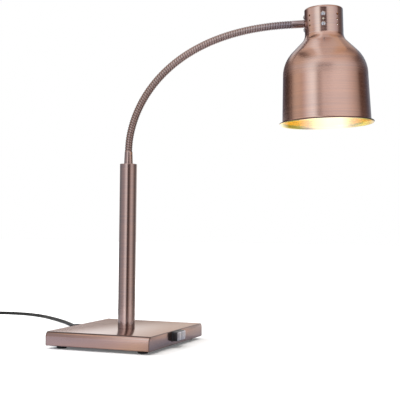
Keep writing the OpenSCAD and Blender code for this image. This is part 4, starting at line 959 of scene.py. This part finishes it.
vents = [cap_hole(a, z, 3.8) for a in (-135, -45, 0, 45, 135) for z in (-8.5, 0, 8.5)]
vents += [cap_hole(a, 0, 3.8) for a in (-90, 90)]
screw_places = [(180, 11), (180, -11), (-90, 8.5), (-90, -8.5), (90, 8.5), (90, -8.5)]
cut(bell, joined("cuts", *vents, *(cap_hole(a, z, 4.1) for a, z in screw_places), cap_hole(180, 0, 10.1)))


# Screws: bright dome heads with a cross recess on the cap, with their nuts and the curved plate
# that stiffens the cap behind the arm.
def dome_screw(place, head_r=4.0, rise=2.4):
    """Dome-head screw grid: the dome's height falls with the distance from the middle, less a cross
    recess a millimetre wide, then the shank. z = 0 is the seat, and the head rises to -2.4."""
    ring = np.concatenate([np.linspace(0.0, 2.7, 22), np.linspace(2.9, head_r, 9)])
    angle = np.linspace(0, 2 * np.pi, 72, endpoint=False)
    px, py = ring[:, None] * np.cos(angle), ring[:, None] * np.sin(angle)
    ball = (head_r ** 2 + rise ** 2) / (2 * rise)
    top = np.sqrt(ball ** 2 - ring ** 2)[:, None] - (ball - rise)
    arms = np.minimum(np.maximum(np.abs(px) - 2.2, np.abs(py) - 0.5),
                      np.maximum(np.abs(py) - 2.2, np.abs(px) - 0.5))
    sink = 1.0 * np.clip(0.5 - arms / 0.3, 0, 1)
    dome = np.stack([px, py, -(np.maximum(top, 0.05) - np.minimum(sink, np.maximum(top - 0.3, 0)))], -1)
    shank = turned([(head_r, 0), (2.0, 0), (2.0, 7.6), (1.6, 8.0)], np.eye(4), 72)
    return skin("screw", placed(closed(np.concatenate([dome, shank])), place))


bright = plated("bright_screw_plate", (0.64, 0.63, 0.65), 0.16)
heads = [dome_screw(head @ swung("Z", a) @ moved(cap_r, 0, z) @ swung("Y", -90)) for a, z in screw_places]
piece("cap_screws", joined("cap_screws", *heads), bright, "zinc_steel", "head", "shade_screws")
dress(zinc, "arm_nut", "arm_plate", "screw_nuts", "holder_bracket")


# Lampholder: white unglazed ceramic, turned in two steps, with a brass screw shell and a contact.
# Two screws hold it to the bracket in the cap. It glows faintly: painted light in place of the bulb's light
# falling on it.
ceramic = rubber("ceramic_white_painted_glow", (0.78, 0.76, 0.70), grain=700.0, Roughness=0.55, Emission_Strength=0.35,
                 Emission_Color=(1.0, 0.96, 0.88, 1))
dress(ceramic, "lampholder")


# Reflector bulb: pressed glass with a mirror coat inside its bowl, sealed to a patterned front
# lens, on a brass-coloured screw cap. It is lit and glows warm.
bulb = head @ moved(0, 0, -5.2) @ swung("X", 180)
bulb_r, bulb_sides, lens_rise = 61, 128, 3.5
bowl = np.linspace(0, 1, 40)
bulb_line = np.vstack([[(12.6, 26), (12.6, 32)], np.column_stack([17 + 44 * np.sqrt(bowl), 38 + 80 * bowl]),
                       [(bulb_r, 129.5), (bulb_r, 130.1)]])
inner_line = bulb_line[:-1] - (2.5, 0)
mirror = plated("bulb_mirror_coat", (0.8, 0.8, 0.82), 0.12)
lathed("bulb_bowl", np.vstack([bulb_line, [(58.5, 130.0)], inner_line[::-1]]), bulb, bulb_sides,
       mirror, "bulb_mirror", "head", "bulb_reflector")
ring = np.linspace(0, 60.9, 92)
angle = np.linspace(0, 2 * np.pi, bulb_sides, endpoint=False)
face_r = (bulb_r ** 2 + lens_rise ** 2) / (2 * lens_rise)
swell = np.sqrt(face_r ** 2 - ring ** 2) - (face_r - lens_rise)
stipple = 0.35 * np.abs(np.sin(ring[:, None] * 0.62)) * np.abs(np.cos(24 * angle)) * (ring[:, None] < 55)
lens_rows = np.stack(np.broadcast_arrays(ring[:, None] * np.cos(angle), ring[:, None] * np.sin(angle),
                                         132.4 + swell[:, None] - stipple), -1)
edge = turned([(bulb_r, 132.0), (bulb_r, 130.2), (58, 130.2)], np.eye(4), bulb_sides)
lens = closed(np.concatenate([lens_rows, edge]))
lens_glow, tree, shader = finish("bulb_lens_lit", (1.0, 0.86, 0.6), Roughness=0.25, Emission_Strength=2.0)
cells = node(tree, "TexVoronoi", {"Vector": on_piece(tree), "Scale": 260.0}).outputs["Distance"]
cell = spread(cells, 0.1, 0.7)
feed(shader, "Emission Color", mixed(cell, (1.0, 0.92, 0.74, 1), (1.0, 0.82, 0.55, 1)))
feed(shader, "Base Color", mixed(cell, (1.0, 0.9, 0.68, 1), (0.95, 0.78, 0.5, 1)))
piece("bulb_front_lens", skin("bulb_front_lens", placed(lens, bulb)), lens_glow, "bulb_glass", "head",
      "bulb_lens")
thread_z = np.linspace(5.2, 25.8, 105)
thread_r = 12.35 + 0.65 * np.sin(2 * np.pi * (thread_z - 6.6) / 3.6)
cap_line = np.vstack([[(0, 0), (4.7, 0), (5, 0.3), (5, 2), (7, 2.2), (12.0, 5)],
                      np.column_stack([thread_r, thread_z]), [(11.8, 26), (11.8, 5.5), (0, 5.5)]])
piece("bulb_screw_cap", skin("bulb_screw_cap", turned(cap_line, bulb, 64)),
      plated("bulb_cap_metal", (0.74, 0.72, 0.68), 0.25), "cap_metal", "head", "bulb_cap")
filament, tree, shader = finish("filament_lit", (1.0, 0.7, 0.35), Roughness=0.4, Emission_Strength=3.0)
wire = node(tree, "TexWave", {"Vector": on_piece(tree), "Scale": 900.0}).outputs[0]
feed(shader, "Emission Color", mixed(wire, (1.0, 0.6, 0.25, 1), (1.0, 0.8, 0.5, 1)))
dress(filament, "bulb_filament")
